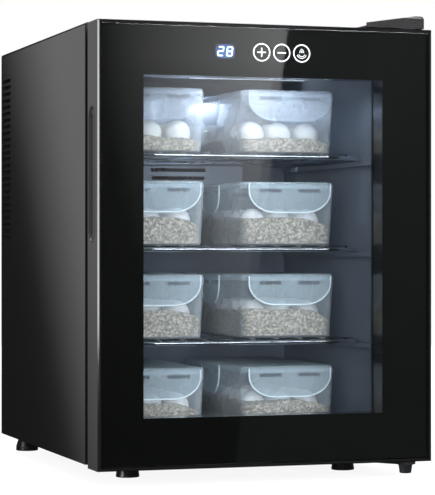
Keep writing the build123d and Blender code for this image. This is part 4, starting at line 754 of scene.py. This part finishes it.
lay_eggs, entry = start_geometry("lay_eggs", [
    ("Radius", "Float", 0.0135), ("Stretch", "Float", 1.1), ("Dimple", "Float", 0.0004),
    ("Seed", "Int", 3)])
ball = add(lay_eggs, "GeometryNodeMeshIcoSphere", {
    "Radius": entry.outputs["Radius"], "Subdivisions": 4})
spot = add(lay_eggs, "GeometryNodeInputPosition")
xyz = add(lay_eggs, "ShaderNodeSeparateXYZ", {"Vector": spot.outputs["Position"]})
blunt_per_metre = 6.0  # the egg widens by this share of its width along its length
blunt = add(lay_eggs, "ShaderNodeMath", {
    0: xyz.outputs["Y"], 1: blunt_per_metre, 2: 1.0}, operation="MULTIPLY_ADD")
long_y = add(lay_eggs, "ShaderNodeMath", {
    0: xyz.outputs["Y"], 1: entry.outputs["Stretch"]}, operation="MULTIPLY")
wide_x, wide_z = (add(lay_eggs, "ShaderNodeMath", {
    0: xyz.outputs[axis], 1: blunt.outputs["Value"]}, operation="MULTIPLY") for axis in "XZ")
shape = add(lay_eggs, "ShaderNodeCombineXYZ", {
    "X": wide_x.outputs["Value"], "Y": long_y.outputs["Value"], "Z": wide_z.outputs["Value"]})
egg = add(lay_eggs, "GeometryNodeSetPosition", {
    "Geometry": ball.outputs["Mesh"], "Position": shape.outputs["Vector"]})
smooth = add(lay_eggs, "GeometryNodeSetShadeSmooth", {"Geometry": egg.outputs["Geometry"]})
turn = add(lay_eggs, "FunctionNodeRandomValue", {
    "Min": (-0.5, -3.1, -0.35), "Max": (0.5, 3.1, 0.35), "Seed": entry.outputs["Seed"]},
    data_type="FLOAT_VECTOR")
laid = add(lay_eggs, "GeometryNodeInstanceOnPoints", {
    "Points": entry.outputs["Geometry"], "Instance": smooth.outputs["Geometry"],
    "Rotation": turn.outputs["Value"]})
real = add(lay_eggs, "GeometryNodeRealizeInstances", {"Geometry": laid.outputs["Instances"]})
spot = add(lay_eggs, "GeometryNodeInputPosition")
sag = add(lay_eggs, "ShaderNodeTexNoise", {
    "Vector": spot.outputs["Position"], "Scale": per_mm(11.0)})
depth = add(lay_eggs, "ShaderNodeMath", {0: sag.outputs["Fac"], 1: 0.5}, operation="SUBTRACT")
push = add(lay_eggs, "ShaderNodeMath", {
    0: depth.outputs["Value"], 1: entry.outputs["Dimple"]}, operation="MULTIPLY")
out = add(lay_eggs, "GeometryNodeInputNormal")
offset = add(lay_eggs, "ShaderNodeVectorMath", {
    0: out.outputs["Normal"], "Scale": push.outputs["Value"]}, operation="SCALE")
dimpled = add(lay_eggs, "GeometryNodeSetPosition", {
    "Geometry": real.outputs["Geometry"], "Offset": offset.outputs["Vector"]})
end_geometry(lay_eggs, dimpled.outputs["Geometry"], egg_shell)

# %% Lay the eggs of each level
level_body = {1: "cabinet", 2: "shelf_2", 3: "shelf_3", 4: "shelf_4"}
ball_share = 0.95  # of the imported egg's radius, because the tree makes the ball longer
for n in levels:
    solids = loose_parts(f"level_{n}_eggs")
    radius = (solids[0][1].x - solids[0][0].x) / 2
    points = bpy.data.meshes.new(f"egg_points_{n}")
    points.from_pydata([tuple((low + high) / 2) for low, high, _ in solids], [], [])
    clutch = grow(f"level_{n}_clutch", points, lay_eggs, {
        "Radius": radius * ball_share, "Stretch": 1.08, "Dimple": 0.5 * MM, "Seed": 3 + n})
    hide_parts(f"level_{n}_eggs")
    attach(clutch, level_body[n])
    print("level", n, "eggs:", len(solids), "faces:", len(clutch.data.polygons))

# %% [markdown]
# ## Vermiculite
# Vermiculite is a mineral that puffs up into small stacks of flakes, gold and grey, 2 to 4 mm
# across. In each tub it lies in a low uneven bed. The bed is a closed mesh that follows the tub's
# inside, with a top that rises and falls, and Geometry Nodes strew grains over its surface.

# %% Vermiculite flakes and the tree that strews them
flakes, tree = start_material("vermiculite_exfoliated_flakes")
place = add(tree, "ShaderNodeTexCoord").outputs["Object"]
grain = add(tree, "ShaderNodeTexVoronoi", {"Vector": place, "Scale": per_mm(1.7)})
tone = add(tree, "ShaderNodeSeparateColor", {"Color": grain.outputs["Color"]})
flake_shade = add(tree, "ShaderNodeValToRGB", {"Fac": tone.outputs["Red"]})
ramp = flake_shade.color_ramp
ramp.elements[0].position, ramp.elements[0].color = 0.0, linear("#5B5246")
ramp.elements[1].position, ramp.elements[1].color = 1.0, linear("#BDB09C")
middle = ramp.elements.new(0.5)
middle.color = linear("#857A69")
body = add(tree, "ShaderNodeBsdfPrincipled", {
    "Base Color": flake_shade.outputs["Color"], "Roughness": 0.45, "IOR": 1.55})
add(tree, "ShaderNodeOutputMaterial", {"Surface": body.outputs["BSDF"]})

strew, entry = start_geometry("strew_flakes", [
    ("Density", "Float", 150000.0), ("Smallest", "Float", 0.0007), ("Largest", "Float", 0.0014),
    ("Seed", "Int", 11)])
shell_normal = add(strew, "GeometryNodeInputNormal")
upward = add(strew, "ShaderNodeSeparateXYZ", {"Vector": shell_normal.outputs["Normal"]})
open_side = add(strew, "FunctionNodeCompare", {
    0: upward.outputs["Z"], 1: -0.5}, operation="GREATER_THAN")
spread = add(strew, "GeometryNodeDistributePointsOnFaces", {
    "Mesh": entry.outputs["Geometry"], "Selection": open_side.outputs["Result"],
    "Density": entry.outputs["Density"], "Seed": entry.outputs["Seed"]})
flake = add(strew, "GeometryNodeMeshUVSphere", {"Segments": 4, "Rings": 2, "Radius": 1.0})
size = add(strew, "FunctionNodeRandomValue", {
    2: entry.outputs["Smallest"], 3: entry.outputs["Largest"], "Seed": entry.outputs["Seed"]})
flat = add(strew, "FunctionNodeRandomValue", {
    "Min": (0.7, 0.7, 0.45), "Max": (1.0, 1.0, 0.9), "Seed": 5}, data_type="FLOAT_VECTOR")
scale = add(strew, "ShaderNodeVectorMath", {
    0: flat.outputs["Value"], "Scale": size.outputs[1]}, operation="SCALE")
spin = add(strew, "FunctionNodeRandomValue", {
    "Min": (0.0, 0.0, 0.0), "Max": (6.28, 6.28, 6.28), "Seed": 8}, data_type="FLOAT_VECTOR")
placed = add(strew, "GeometryNodeInstanceOnPoints", {
    "Points": spread.outputs["Points"], "Instance": flake.outputs["Mesh"],
    "Rotation": spin.outputs["Value"], "Scale": scale.outputs["Vector"]})
whole = add(strew, "GeometryNodeJoinGeometry")
for part in (entry.outputs["Geometry"], placed.outputs["Instances"]):
    strew.links.new(part, whole.inputs["Geometry"])
end_geometry(strew, whole.outputs["Geometry"], flakes)


# %% The bed in each tub
bed_inset = 1.0 * MM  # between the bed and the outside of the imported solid
bed_corner, corner_points = 9.5 * MM, 8
outline_step = 4 * MM
side_rows, top_rings = 6, 26
hill_length, hill_width, hill_height = 26 * MM, 30 * MM, 2.6
ripple_length, ripple_height = 9 * MM, 1.2
mean_rise = 1.0  # heights are in millimetres
slump_start, slump_share = 0.3, 0.4  # the bed falls off towards the tub's right side


def bed_outline(half_x, half_y):
    """Points round a rounded rectangle about the origin."""
    points = []
    for quarter, (sx, sy) in enumerate(((1, 1), (-1, 1), (-1, -1), (1, -1))):
        cx, cy = sx * (half_x - bed_corner), sy * (half_y - bed_corner)
        for i in range(corner_points):
            angle = math.radians(90 * quarter + 90 * i / (corner_points - 1))
            points.append((cx + bed_corner * math.cos(angle), cy + bed_corner * math.sin(angle)))
    dense = []
    for i, (x, y) in enumerate(points):
        next_x, next_y = points[(i + 1) % len(points)]
        steps = max(1, int(math.dist((x, y), (next_x, next_y)) / outline_step))
        for k in range(steps):
            t = k / steps
            dense.append((x + (next_x - x) * t, y + (next_y - y) * t))
    return dense


def bed_height(x, y, half_x, deep, seed):
    """How far the bed's surface stands over or under its mean at a place in the tub."""
    hill = noise.noise(Vector((x / hill_length, y / hill_width, seed * 7.3)))
    ripple = noise.noise(Vector((x / ripple_length, y / ripple_length, seed * 3.1)))
    slump = max(0.0, (x - slump_start * half_x) / ((1 - slump_start) * half_x))
    rise = (hill_height * hill + ripple_height * ripple + mean_rise) * MM
    return rise - slump_share * deep * slump * slump


def bed(low, high, island, seed):
    """Closed shape of the vermiculite in one tub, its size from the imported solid."""
    centre = (low + high) / 2
    foot = [co for co in island if co.z < low.z + 0.5 * MM]
    foot_half = max(co.x for co in foot) - centre.x
    half_x, half_y = (high.x - low.x) / 2 - bed_inset, (high.y - low.y) / 2 - bed_inset
    deep = high.z - low.z
    lean = (high.x - centre.x - foot_half) / deep
    outline = bed_outline(half_x, half_y)
    count = len(outline)

    def surface(x, y):
        return high.z - bed_inset + bed_height(x, y, half_x, deep, seed)

    tops = [surface(x, y) for x, y in outline]
    vertices, faces = [], []
    for row in range(side_rows + 1):
        for (x, y), top in zip(outline, tops):
            z = low.z + bed_inset + (top - low.z - bed_inset) * row / side_rows
            narrower_x = 1 + lean * (z - high.z) / half_x
            narrower_y = 1 + lean * (z - high.z) / half_y
            vertices.append((centre.x + x * narrower_x, centre.y + y * narrower_y, z))
    for ring in range(1, top_rings):
        t = 1 - ring / top_rings
        for x, y in outline:
            vertices.append((centre.x + x * t, centre.y + y * t, surface(x * t, y * t)))
    rows = side_rows + top_rings - 1
    for row in range(rows):
        for i in range(count):
            a, b = row * count + i, row * count + (i + 1) % count
            faces.append((a, b, b + count, a + count))
    top_middle = len(vertices)
    vertices += [(centre.x, centre.y, surface(0, 0)), (centre.x, centre.y, low.z + bed_inset)]
    for i in range(count):
        after = (i + 1) % count
        faces += [(rows * count + i, rows * count + after, top_middle), (after, i, top_middle + 1)]
    return vertices, faces


for n in levels:
    beds = joined(bed(low, high, island, 10 * n + index) for index, (low, high, island)
                  in enumerate(loose_parts(f"level_{n}_vermiculite")))
    strewn = grow(f"level_{n}_bedding", mesh_from(f"bed_{n}", *beds), strew, {
        "Density": 170000.0, "Smallest": 0.7 * MM, "Largest": 1.35 * MM, "Seed": 11 + n})
    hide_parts(f"level_{n}_vermiculite")
    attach(strewn, level_body[n])
    triangles = sum(len(face.vertices) - 2 for face in strewn.data.polygons)
    print("level", n, "bedding triangles:", triangles)

# %% [markdown]
# ## Beads round the lids' flaps
# Each flap ends in a thick round bead. Its plastic is near white and almost opaque, a painted
# highlight, so the bead shows as a bright line round the D of the flap. The top lids are of a
# clearer plastic, and so are their beads. A bead follows the flap's edge, so a tree turns that edge
# into a curve and sweeps a small circle along it.

# %% The tree that beads a flap's edge
bead_flap, entry = start_geometry("bead_flap", [("Radius", "Float", 0.0008), ("Sides", "Int", 8)])
edge_curve = add(bead_flap, "GeometryNodeMeshToCurve", {"Mesh": entry.outputs["Geometry"]})
round_section = add(bead_flap, "GeometryNodeCurvePrimitiveCircle", {
    "Radius": entry.outputs["Radius"], "Resolution": entry.outputs["Sides"]})
swept = add(bead_flap, "GeometryNodeCurveToMesh", {
    "Curve": edge_curve.outputs["Curve"], "Profile Curve": round_section.outputs["Curve"],
    "Fill Caps": True})
soft = add(bead_flap, "GeometryNodeSetShadeSmooth", {"Geometry": swept.outputs["Mesh"]})
end_geometry(bead_flap, soft.outputs["Geometry"], bead_plastic_painted_highlight)


# %% The edge of each flap
def flap_edge(half, half_flat, drop, straight, steps=14):
    """Points (across, down) along a flap's edge: straight sides and two elliptical quarters."""
    wide, deep = half - half_flat, drop - straight
    angles = [math.radians(90 * i / steps) for i in range(steps + 1)]
    left = [(-half_flat - wide * math.cos(a), -straight - deep * math.sin(a)) for a in angles]
    return [(-half, 0.0)] + left + [(-x, z) for x, z in reversed(left)] + [(half, 0.0)]


bead_radius = 0.8 * MM
flap_root = 2.0 * MM  # from the lid's top down to where a flap leaves it
flap_straight = 7.0 * MM
end_flap, side_flap = (45.0 * MM, 16.0 * MM), (30.0 * MM, 11.0 * MM)  # half width, half flat
for n in levels:
    vertices, edges = [], []
    for low, high, _ in loose_parts(f"level_{n}_lids"):
        centre = (low + high) / 2
        root = high.z - flap_root
        half_lid_x, half_lid_y = (high.x - low.x) / 2, (high.y - low.y) / 2
        for (half, half_flat), turn, reach_out in (
                (end_flap, 0, half_lid_y), (end_flap, 180, half_lid_y),
                (side_flap, 90, half_lid_x), (side_flap, 270, half_lid_x)):
            points = flap_edge(
                half - bead_radius, half_flat, root - low.z - bead_radius, flap_straight)
            base = len(vertices)
            cos_t, sin_t = math.cos(math.radians(turn)), math.sin(math.radians(turn))
            out = -(reach_out - bead_radius)
            for across, down in points:
                vertices.append((centre.x + across * cos_t - out * sin_t,
                                 centre.y + across * sin_t + out * cos_t, root + down))
            edges += [(base + i, base + i + 1) for i in range(len(points) - 1)]
    path = bpy.data.meshes.new(f"flap_edges_{n}")
    path.from_pydata(vertices, edges, [])
    beads = grow(f"level_{n}_beads", path, bead_flap, {"Radius": bead_radius, "Sides": 8})
    if n == levels[-1]:
        beads.data.materials[0] = top_lid_plastic
    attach(beads, level_body[n])
    print("level", n, "bead faces:", len(beads.data.polygons))

# %% [markdown]
# ## Door seal
# The seal is a soft extruded bellows: a foot in the door's liner, folded walls that give when the
# door shuts, and a head that holds a magnet strip. Its section follows one closed path round the
# door, so a tree sweeps a profile curve along a rounded rectangle.

# %% Sweep the bellows profile round the door
seal_low, seal_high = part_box("door_seal")
seal_deep = seal_high.y - seal_low.y
seal_wide = 11.0 * MM
# One side of the section, from one end to the other: how far out as a share of the seal's width,
# and how deep as a share of its depth.
half_profile = [
    (0.5, 0.0), (0.5, 0.22), (0.34, 0.27), (0.43, 0.38), (0.3, 0.5), (0.43, 0.62), (0.34, 0.7),
    (0.5, 0.75), (0.5, 1.0)]
profile_points = [(-across, deep) for across, deep in half_profile] + half_profile[::-1]
profile_data = bpy.data.curves.new("bellows_profile", "CURVE")
profile_data.dimensions = "2D"
spline = profile_data.splines.new("POLY")
spline.points.add(len(profile_points) - 1)
for point, (across, deep) in zip(spline.points, profile_points):
    point.co = (across * seal_wide, (deep - 0.5) * seal_deep, 0.0, 1.0)
spline.use_cyclic_u = True
profile = bpy.data.objects.new("bellows_profile", profile_data)

sweep_seal, entry = start_geometry("sweep_seal", [
    ("Width", "Float", 0.3), ("Height", "Float", 0.4), ("Corner", "Float", 0.004),
    ("Profile", "Object", None)])
path = add(sweep_seal, "GeometryNodeCurvePrimitiveQuadrilateral", {
    "Width": entry.outputs["Width"], "Height": entry.outputs["Height"]})
rounded = add(sweep_seal, "GeometryNodeFilletCurve", {
    "Curve": path.outputs["Curve"], "Radius": entry.outputs["Corner"], "Count": 6}, mode="POLY")
level_normals = add(sweep_seal, "GeometryNodeSetCurveNormal", {
    "Curve": rounded.outputs["Curve"]}, mode="Z_UP")
section = add(sweep_seal, "GeometryNodeObjectInfo", {"Object": entry.outputs["Profile"]})
swept = add(sweep_seal, "GeometryNodeCurveToMesh", {
    "Curve": level_normals.outputs["Curve"], "Profile Curve": section.outputs["Geometry"]})
upright = add(sweep_seal, "GeometryNodeTransform", {
    "Geometry": swept.outputs["Mesh"], "Rotation": (math.radians(90), 0.0, 0.0)})
end_geometry(sweep_seal, upright.outputs["Geometry"], seal_vinyl)


def set_in_place(shell):
    """Moves the swept seal from the origin to the door and closes it up."""
    bmesh.ops.translate(shell, verts=shell.verts, vec=(seal_low + seal_high) / 2)
    close_up(shell)


dot = bpy.data.meshes.new("seal_dot")
dot.from_pydata([(0, 0, 0)], [], [])
seal = grow("seal_bellows", dot, sweep_seal, {
    "Width": seal_high.x - seal_low.x - seal_wide,
    "Height": seal_high.z - seal_low.z - seal_wide,
    "Corner": 4.0 * MM, "Profile": profile})
bpy.data.objects.remove(profile)
edit_mesh(seal.data, set_in_place)
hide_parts("door_seal")
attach(seal, "door")
print("seal:", [round(v * 1000, 1) for v in seal.dimensions],
      "packed:", [round(v * 1000, 1) for v in seal_high - seal_low])

# %% [markdown]
# ## Screws
# The rear cover and the hinge brackets are held by pan-head screws with a cross recess. One screw
# is made in mesh code: a domed head with a cross pressed into it and a shank. Geometry Nodes turn
# it as a screwdriver left it, tilt it to the way its hole points, and set a copy at each hole.

# %% One pan-head screw
def screw_mesh(name, head_radius, head_height, shank_radius, length):
    """A screw along -Z, its head's underside at z = 0."""
    sides = 24
    rings = [(shank_radius, -length), (shank_radius, 0.0), (head_radius * 0.96, 0.0),
             (head_radius, head_height * 0.15), (head_radius, head_height * 0.45),
             (head_radius * 0.86, head_height * 0.82), (head_radius * 0.6, head_height)]
    turns = [2 * math.pi * i / sides for i in range(sides)]
    vertices = [(r * math.cos(turn), r * math.sin(turn), z) for r, z in rings for turn in turns]
    faces = []
    for row in range(len(rings) - 1):
        for i in range(sides):
            a, b = row * sides + i, row * sides + (i + 1) % sides
            faces.append((a, b, b + sides, a + sides))
    half, reach, deep = head_radius * 0.13, head_radius * 0.5, head_height * 0.55
    cross = [(half, reach), (-half, reach), (-half, half), (-reach, half), (-reach, -half),
             (-half, -half), (-half, -reach), (half, -reach), (half, -half), (reach, -half),
             (reach, half), (half, half)]
    count = len(cross)
    top, rim, bottom = len(vertices) - sides, len(vertices), len(vertices) + count
    vertices += [(x, y, head_height) for x, y in cross]
    vertices += [(x * 0.8, y * 0.8, head_height - deep) for x, y in cross]
    for i in range(count):
        after = (i + 1) % count
        faces.append((rim + i, rim + after, bottom + after, bottom + i))
    faces.append(tuple(range(bottom, bottom + count)))
    # The flat of the head, between the cross and the circle round it, one face to each side of
    # the cross.
    angles = [math.atan2(y, x) % (2 * math.pi) for x, y in cross]
    order = sorted(range(count), key=lambda i: angles[i])
    for k, i in enumerate(order):
        j = order[(k + 1) % count]
        step, stop = (round(angles[end] / (2 * math.pi) * sides) % sides for end in (i, j))
        fan = [rim + j, rim + i, top + step]
        while step != stop:
            step = (step + 1) % sides
            fan.append(top + step)
        faces.append(tuple(fan))
    faces.append(tuple(reversed(range(sides))))
    return mesh_from(name, vertices, faces)


set_screws, entry = start_geometry("set_screws", [
    ("Screw", "Object", None), ("Turn", "Vector", (0.0, 0.0, 0.0)),
    ("Tilt", "Vector", (0.0, 0.0, 0.0))])
source = add(set_screws, "GeometryNodeObjectInfo", {"Object": entry.outputs["Screw"]})
driven = add(set_screws, "GeometryNodeTransform", {
    "Geometry": source.outputs["Geometry"], "Rotation": entry.outputs["Turn"]})
aimed = add(set_screws, "GeometryNodeTransform", {
    "Geometry": driven.outputs["Geometry"], "Rotation": entry.outputs["Tilt"]})
placed = add(set_screws, "GeometryNodeInstanceOnPoints", {
    "Points": entry.outputs["Geometry"], "Instance": aimed.outputs["Geometry"]})
end_geometry(set_screws, placed.outputs["Instances"], screw_steel)


# %% Screws in the rear cover and the hinge brackets
head_height = 2.2 * MM
driver_turn = (0.0, 0.0, 0.4)


def set_of_screws(name, node, axis, tilt, head_at_high, wanted=lambda middle: True):
    """
    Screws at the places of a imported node's screws that are wanted. They lie along an axis, 0 to
    2, and tilt turns one from +Z to it. Their heads are at its high end or at its low end.
    """
    chosen = [(low, high, (low + high) / 2, island) for low, high, island in loose_parts(node)
              if wanted((low + high) / 2)]
    low, high, middle, island = chosen[0]
    a, b = (i for i in range(3) if i != axis)
    head_radius = (high[a] - low[a]) / 2
    spans = [math.dist((co[a], co[b]), (middle[a], middle[b])) for co in island]
    shank_radius = min(span for span in spans if span > 0.2 * MM)
    length = high[axis] - low[axis] - head_height
    screw = new_object(
        name + "_one", screw_mesh(name + "_one", head_radius, head_height, shank_radius, length))
    seats = []
    for low, high, middle, _ in chosen:
        middle[axis] = high[axis] - head_height if head_at_high else low[axis] + head_height
        seats.append(tuple(middle))
    points = bpy.data.meshes.new(name + "_points")
    points.from_pydata(seats, [], [])
    fixings = grow(name, points, set_screws, {"Screw": screw, "Turn": driver_turn, "Tilt": tilt})
    bpy.data.objects.remove(screw)
    return fixings


cover_screws = set_of_screws(
    "rear_cover_fixings", "rear_cover_screws", 1, (-math.pi / 2, 0.0, 0.0), True)
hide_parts("rear_cover_screws")
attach(cover_screws, "cabinet")
hinge_low, hinge_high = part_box("hinge_screws")
hinge_middle = (hinge_low.z + hinge_high.z) / 2
upper_screws = set_of_screws(
    "upper_hinge_fixings", "hinge_screws", 2, (0.0, 0.0, 0.0), True,
    lambda middle: middle.z > hinge_middle)
lower_screws = set_of_screws(
    "lower_hinge_fixings", "hinge_screws", 2, (math.pi, 0.0, 0.0), False,
    lambda middle: middle.z < hinge_middle)
for fixings in (upper_screws, lower_screws):
    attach(fixings, "cabinet")
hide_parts("hinge_screws")
print("screws:", len(cover_screws.data.polygons), len(upper_screws.data.polygons), "faces")

# %% [markdown]
# ## Studio
# A plain white floor and a white surround, with soft lights. Black gloss shows only what it
# mirrors, so most lights are kept out of reflections, and what the gloss mirrors is chosen: a
# card in front for the pane, a card behind on the left for the side, a narrow light for the
# door's edge, one high in front for the shelves' wires, and two that give the top and the right
# side a soft sheen. The two fills light the tubs through the glass, and three lights at the back
# serve the sides that the camera doesn't see.

# %% Floor and surround
scene = bpy.context.scene
scene.view_settings.view_transform = "Standard"
scene.cycles.transparent_max_bounces = 32

paper, tree = start_material("paper_matt_white_sweep")
place = add(tree, "ShaderNodeTexCoord").outputs["Object"]
fibre = add(tree, "ShaderNodeTexNoise", {"Vector": place, "Scale": per_mm(40.0), "Detail": 2.0})
tone = add(tree, "ShaderNodeValToRGB", {"Fac": fibre.outputs["Fac"]})
tone.color_ramp.elements[0].color = linear("#F7F7F7")
tone.color_ramp.elements[1].color = linear("#FAFAFA")
body = add(tree, "ShaderNodeBsdfPrincipled", {
    "Base Color": tone.outputs["Color"], "Roughness": 0.9, "Specular IOR Level": 0.0})
back_lit = add(tree, "ShaderNodeEmission", {"Color": linear("#FFFFFF"), "Strength": 1.0})
sweep = add(tree, "ShaderNodeMixShader", {
    "Fac": 0.9, 1: body.outputs["BSDF"], 2: back_lit.outputs["Emission"]})
add(tree, "ShaderNodeOutputMaterial", {"Surface": sweep.outputs["Shader"]})
reach, floor_z = 12.0, cad_box[0].z
floor = new_object("studio_floor", mesh_from("studio_floor", [
    (-reach, -reach, floor_z), (reach, -reach, floor_z),
    (reach, reach, floor_z), (-reach, reach, floor_z)], [(0, 1, 2, 3)]), paper)
floor.visible_glossy = False
floor.visible_diffuse = False

world = bpy.data.worlds.new("studio_surround")
scene.world = world
world.use_nodes = True
tree = world.node_tree
tree.nodes.clear()
ray = add(tree, "ShaderNodeLightPath")
seen_white = add(tree, "ShaderNodeBackground", {"Color": linear("#FFFFFF"), "Strength": 1.0})
dim = add(tree, "ShaderNodeBackground", {"Color": linear("#E8EEF8"), "Strength": 0.05})
both = add(tree, "ShaderNodeMixShader", {
    "Fac": ray.outputs["Is Camera Ray"], 1: dim.outputs["Background"],
    2: seen_white.outputs["Background"]})
add(tree, "ShaderNodeOutputWorld", {"Surface": both.outputs["Shader"]})


# %% Lights
def aim(obj, place, target):
    """Puts a light or camera in its place and turns it to its target."""
    obj.location = place
    obj.rotation_euler = (Vector(target) - Vector(place)).to_track_quat("-Z", "Y").to_euler()


def soft_light(name, place, target, width, height, watts, colour="#FFFFFF", mirrored=True):
    """A rectangular light that the camera doesn't see, and that gloss mirrors or not."""
    data = bpy.data.lights.new(name, "AREA")
    data.shape = "RECTANGLE"
    data.size, data.size_y = width, height
    data.energy = watts
    data.color = linear(colour)[:3]
    light = bpy.data.objects.new(name, data)
    scene.collection.objects.link(light)
    aim(light, place, target)
    light.visible_camera = False
    light.visible_glossy = mirrored


sun = bpy.data.lights.new("overhead_sheet", "SUN")
sun.energy = 3.3
sun.angle = math.radians(60)
overhead = bpy.data.objects.new("overhead_sheet", sun)
scene.collection.objects.link(overhead)
aim(overhead, (0, 0, 3), (0, 0, 0))
overhead.visible_glossy = False

soft_light(
    "window_fill", (-0.95, -2.7, 0.4), (0.0, -0.1, 0.2), 1.7, 1.3, 170.0, mirrored=False)
soft_light(
    "right_fill", (1.15, -2.4, 0.5), (-0.05, -0.1, 0.25), 1.0, 1.0, 80.0, mirrored=False)
soft_light("shelf_sparkle", (0.68, -1.8, 1.6), (0.0, -0.2, 0.25), 1.25, 1.0, 60.0)
soft_light("door_edge_strip", (-1.62, -0.62, 0.42), (-0.17, -0.23, 0.3), 0.34, 0.7, 14.0)
soft_light("overhead_box", (-0.6, 0.9, 2.2), (0.0, 0.0, 0.4), 1.1, 1.2, 14.0)
soft_light("right_box", (1.9, -1.4, 1.7), (0.0, 0.0, 0.3), 0.9, 1.2, 20.0)
soft_light("back_box", (0.9, 2.4, 1.0), (0.0, 0.2, 0.3), 1.2, 1.4, 90.0, mirrored=False)
soft_light(
    "left_back_box", (-2.0, 1.5, 1.2), (-0.1, 0.1, 0.3), 1.0, 1.2, 45.0, mirrored=False)
soft_light(
    "right_back_box", (2.2, 0.9, 0.9), (0.1, 0.1, 0.3), 1.0, 1.2, 45.0, mirrored=False)


# %% Light cards that only reflections see
halvings = 8  # below this many, a card's fall ends


def card(name, corners, colour, dim, peak, ramp, fall=None):
    """
    A glowing sheet that brightens along a ramp: its direction across the sheet (x, z) and its
    dark and bright places. With a fall (height, halving), the glow also halves with each step
    below that height.
    """
    material, tree = start_material(name + "_glow")
    place = add(tree, "ShaderNodeTexCoord").outputs["Object"]
    (along_x, along_z), dark, bright = ramp
    across = add(tree, "ShaderNodeVectorMath", {
        0: place, 1: (along_x, 0.0, along_z)}, operation="DOT_PRODUCT")
    share = add(tree, "ShaderNodeMapRange", {
        "Value": across.outputs["Value"], "From Min": dark, "From Max": bright}).outputs["Result"]
    if fall:
        height, halving = fall
        upright = add(tree, "ShaderNodeSeparateXYZ", {"Vector": place})
        steps = add(tree, "ShaderNodeMapRange", {
            "Value": upright.outputs["Z"], "From Min": height - halvings * halving,
            "From Max": height, "To Min": -halvings, "To Max": 0.0})
        halved = add(tree, "ShaderNodeMath", {
            0: 2.0, 1: steps.outputs["Result"]}, operation="POWER")
        share = add(tree, "ShaderNodeMath", {
            0: share, 1: halved.outputs["Value"]}, operation="MULTIPLY").outputs["Value"]
    level = add(tree, "ShaderNodeMapRange", {
        "Value": share, "From Min": 0.07, "To Min": dim, "To Max": peak})
    glow = add(tree, "ShaderNodeEmission", {
        "Color": linear(colour), "Strength": level.outputs["Result"]})
    add(tree, "ShaderNodeOutputMaterial", {"Surface": glow.outputs["Emission"]})
    sheet = new_object(name, mesh_from(name, corners, [(0, 1, 2, 3)]), material)
    sheet.visible_camera = False
    sheet.visible_diffuse = False
    sheet.visible_shadow = False
    sheet.visible_transmission = False


card("front_card", [(0.2, -2.2, -0.6), (0.577, -2.2, -0.6), (0.80, -2.2, 1.15), (0.2, -2.2, 1.15)],
     "#FAFAFC", 0.0, 1.5, ((1.0, 0.0), 0.33, 0.72), fall=(0.6, 0.21))
card("side_card", [(-1.0, 2.0, -0.8), (-0.1, 2.0, -0.8), (-0.1, 2.0, 1.5), (-1.0, 2.0, 1.5)],
     "#FFFFFF", 0.01, 0.47, ((-5.5, 1.0), 3.68, 4.33))

# %% [markdown]
# ## Lamps inside the chamber
# A strip behind the top of the door and a small lamp in the duct's cover light the chamber. The
# lenses already glow; two small lights just in front of them do the actual lighting, which gives
# far less noise than a glowing mesh.

# %% Chamber lights
lamp_gap = 1 * MM  # between a lens and its light
strip_low, strip_high, _ = ceiling_lens
strip_x, strip_y = (strip_low.x + strip_high.x) / 2, (strip_low.y + strip_high.y) / 2
soft_light("ceiling_strip", (strip_x, strip_y, strip_low.z - lamp_gap),
           (strip_x, strip_y + 0.02, 0.0),
           strip_high.x - strip_low.x, strip_high.y - strip_low.y, 0.22, "#F4F8FF",
           mirrored=False)
rear_low, rear_high, _ = rear_lens
rear_x, rear_z = (rear_low.x + rear_high.x) / 2, (rear_low.z + rear_high.z) / 2
soft_light("duct_lamp", (rear_x, rear_low.y - lamp_gap, rear_z), (rear_x, -1.0, rear_z - 0.3),
           rear_high.x - rear_low.x, rear_high.z - rear_low.z, 0.85, "#FCFDFF", mirrored=False)
print("strip lamp at z =", round(strip_low.z * 1000, 1), "duct lamp at x =",
      round(rear_x * 1000, 1))

# %% [markdown]
# ## Camera
# A long lens from the front left, level with the middle of the cabinet, so upright lines stay
# upright and the depth looks calm.

# %% Camera
camera_data = bpy.data.cameras.new("camera")
camera_data.lens = 156.15
camera_data.sensor_width = 36.0
camera_data.shift_y = 0.0017
camera_data.clip_start = 0.05
camera_data.clip_end = 60.0
camera = bpy.data.objects.new("camera", camera_data)
scene.collection.objects.link(camera)
eye = Vector((-0.69966, -2.20789, 0.2287))
view_direction = Vector((0.3115, 0.9502, 0.0))
aim(camera, eye, eye + view_direction)
scene.camera = camera
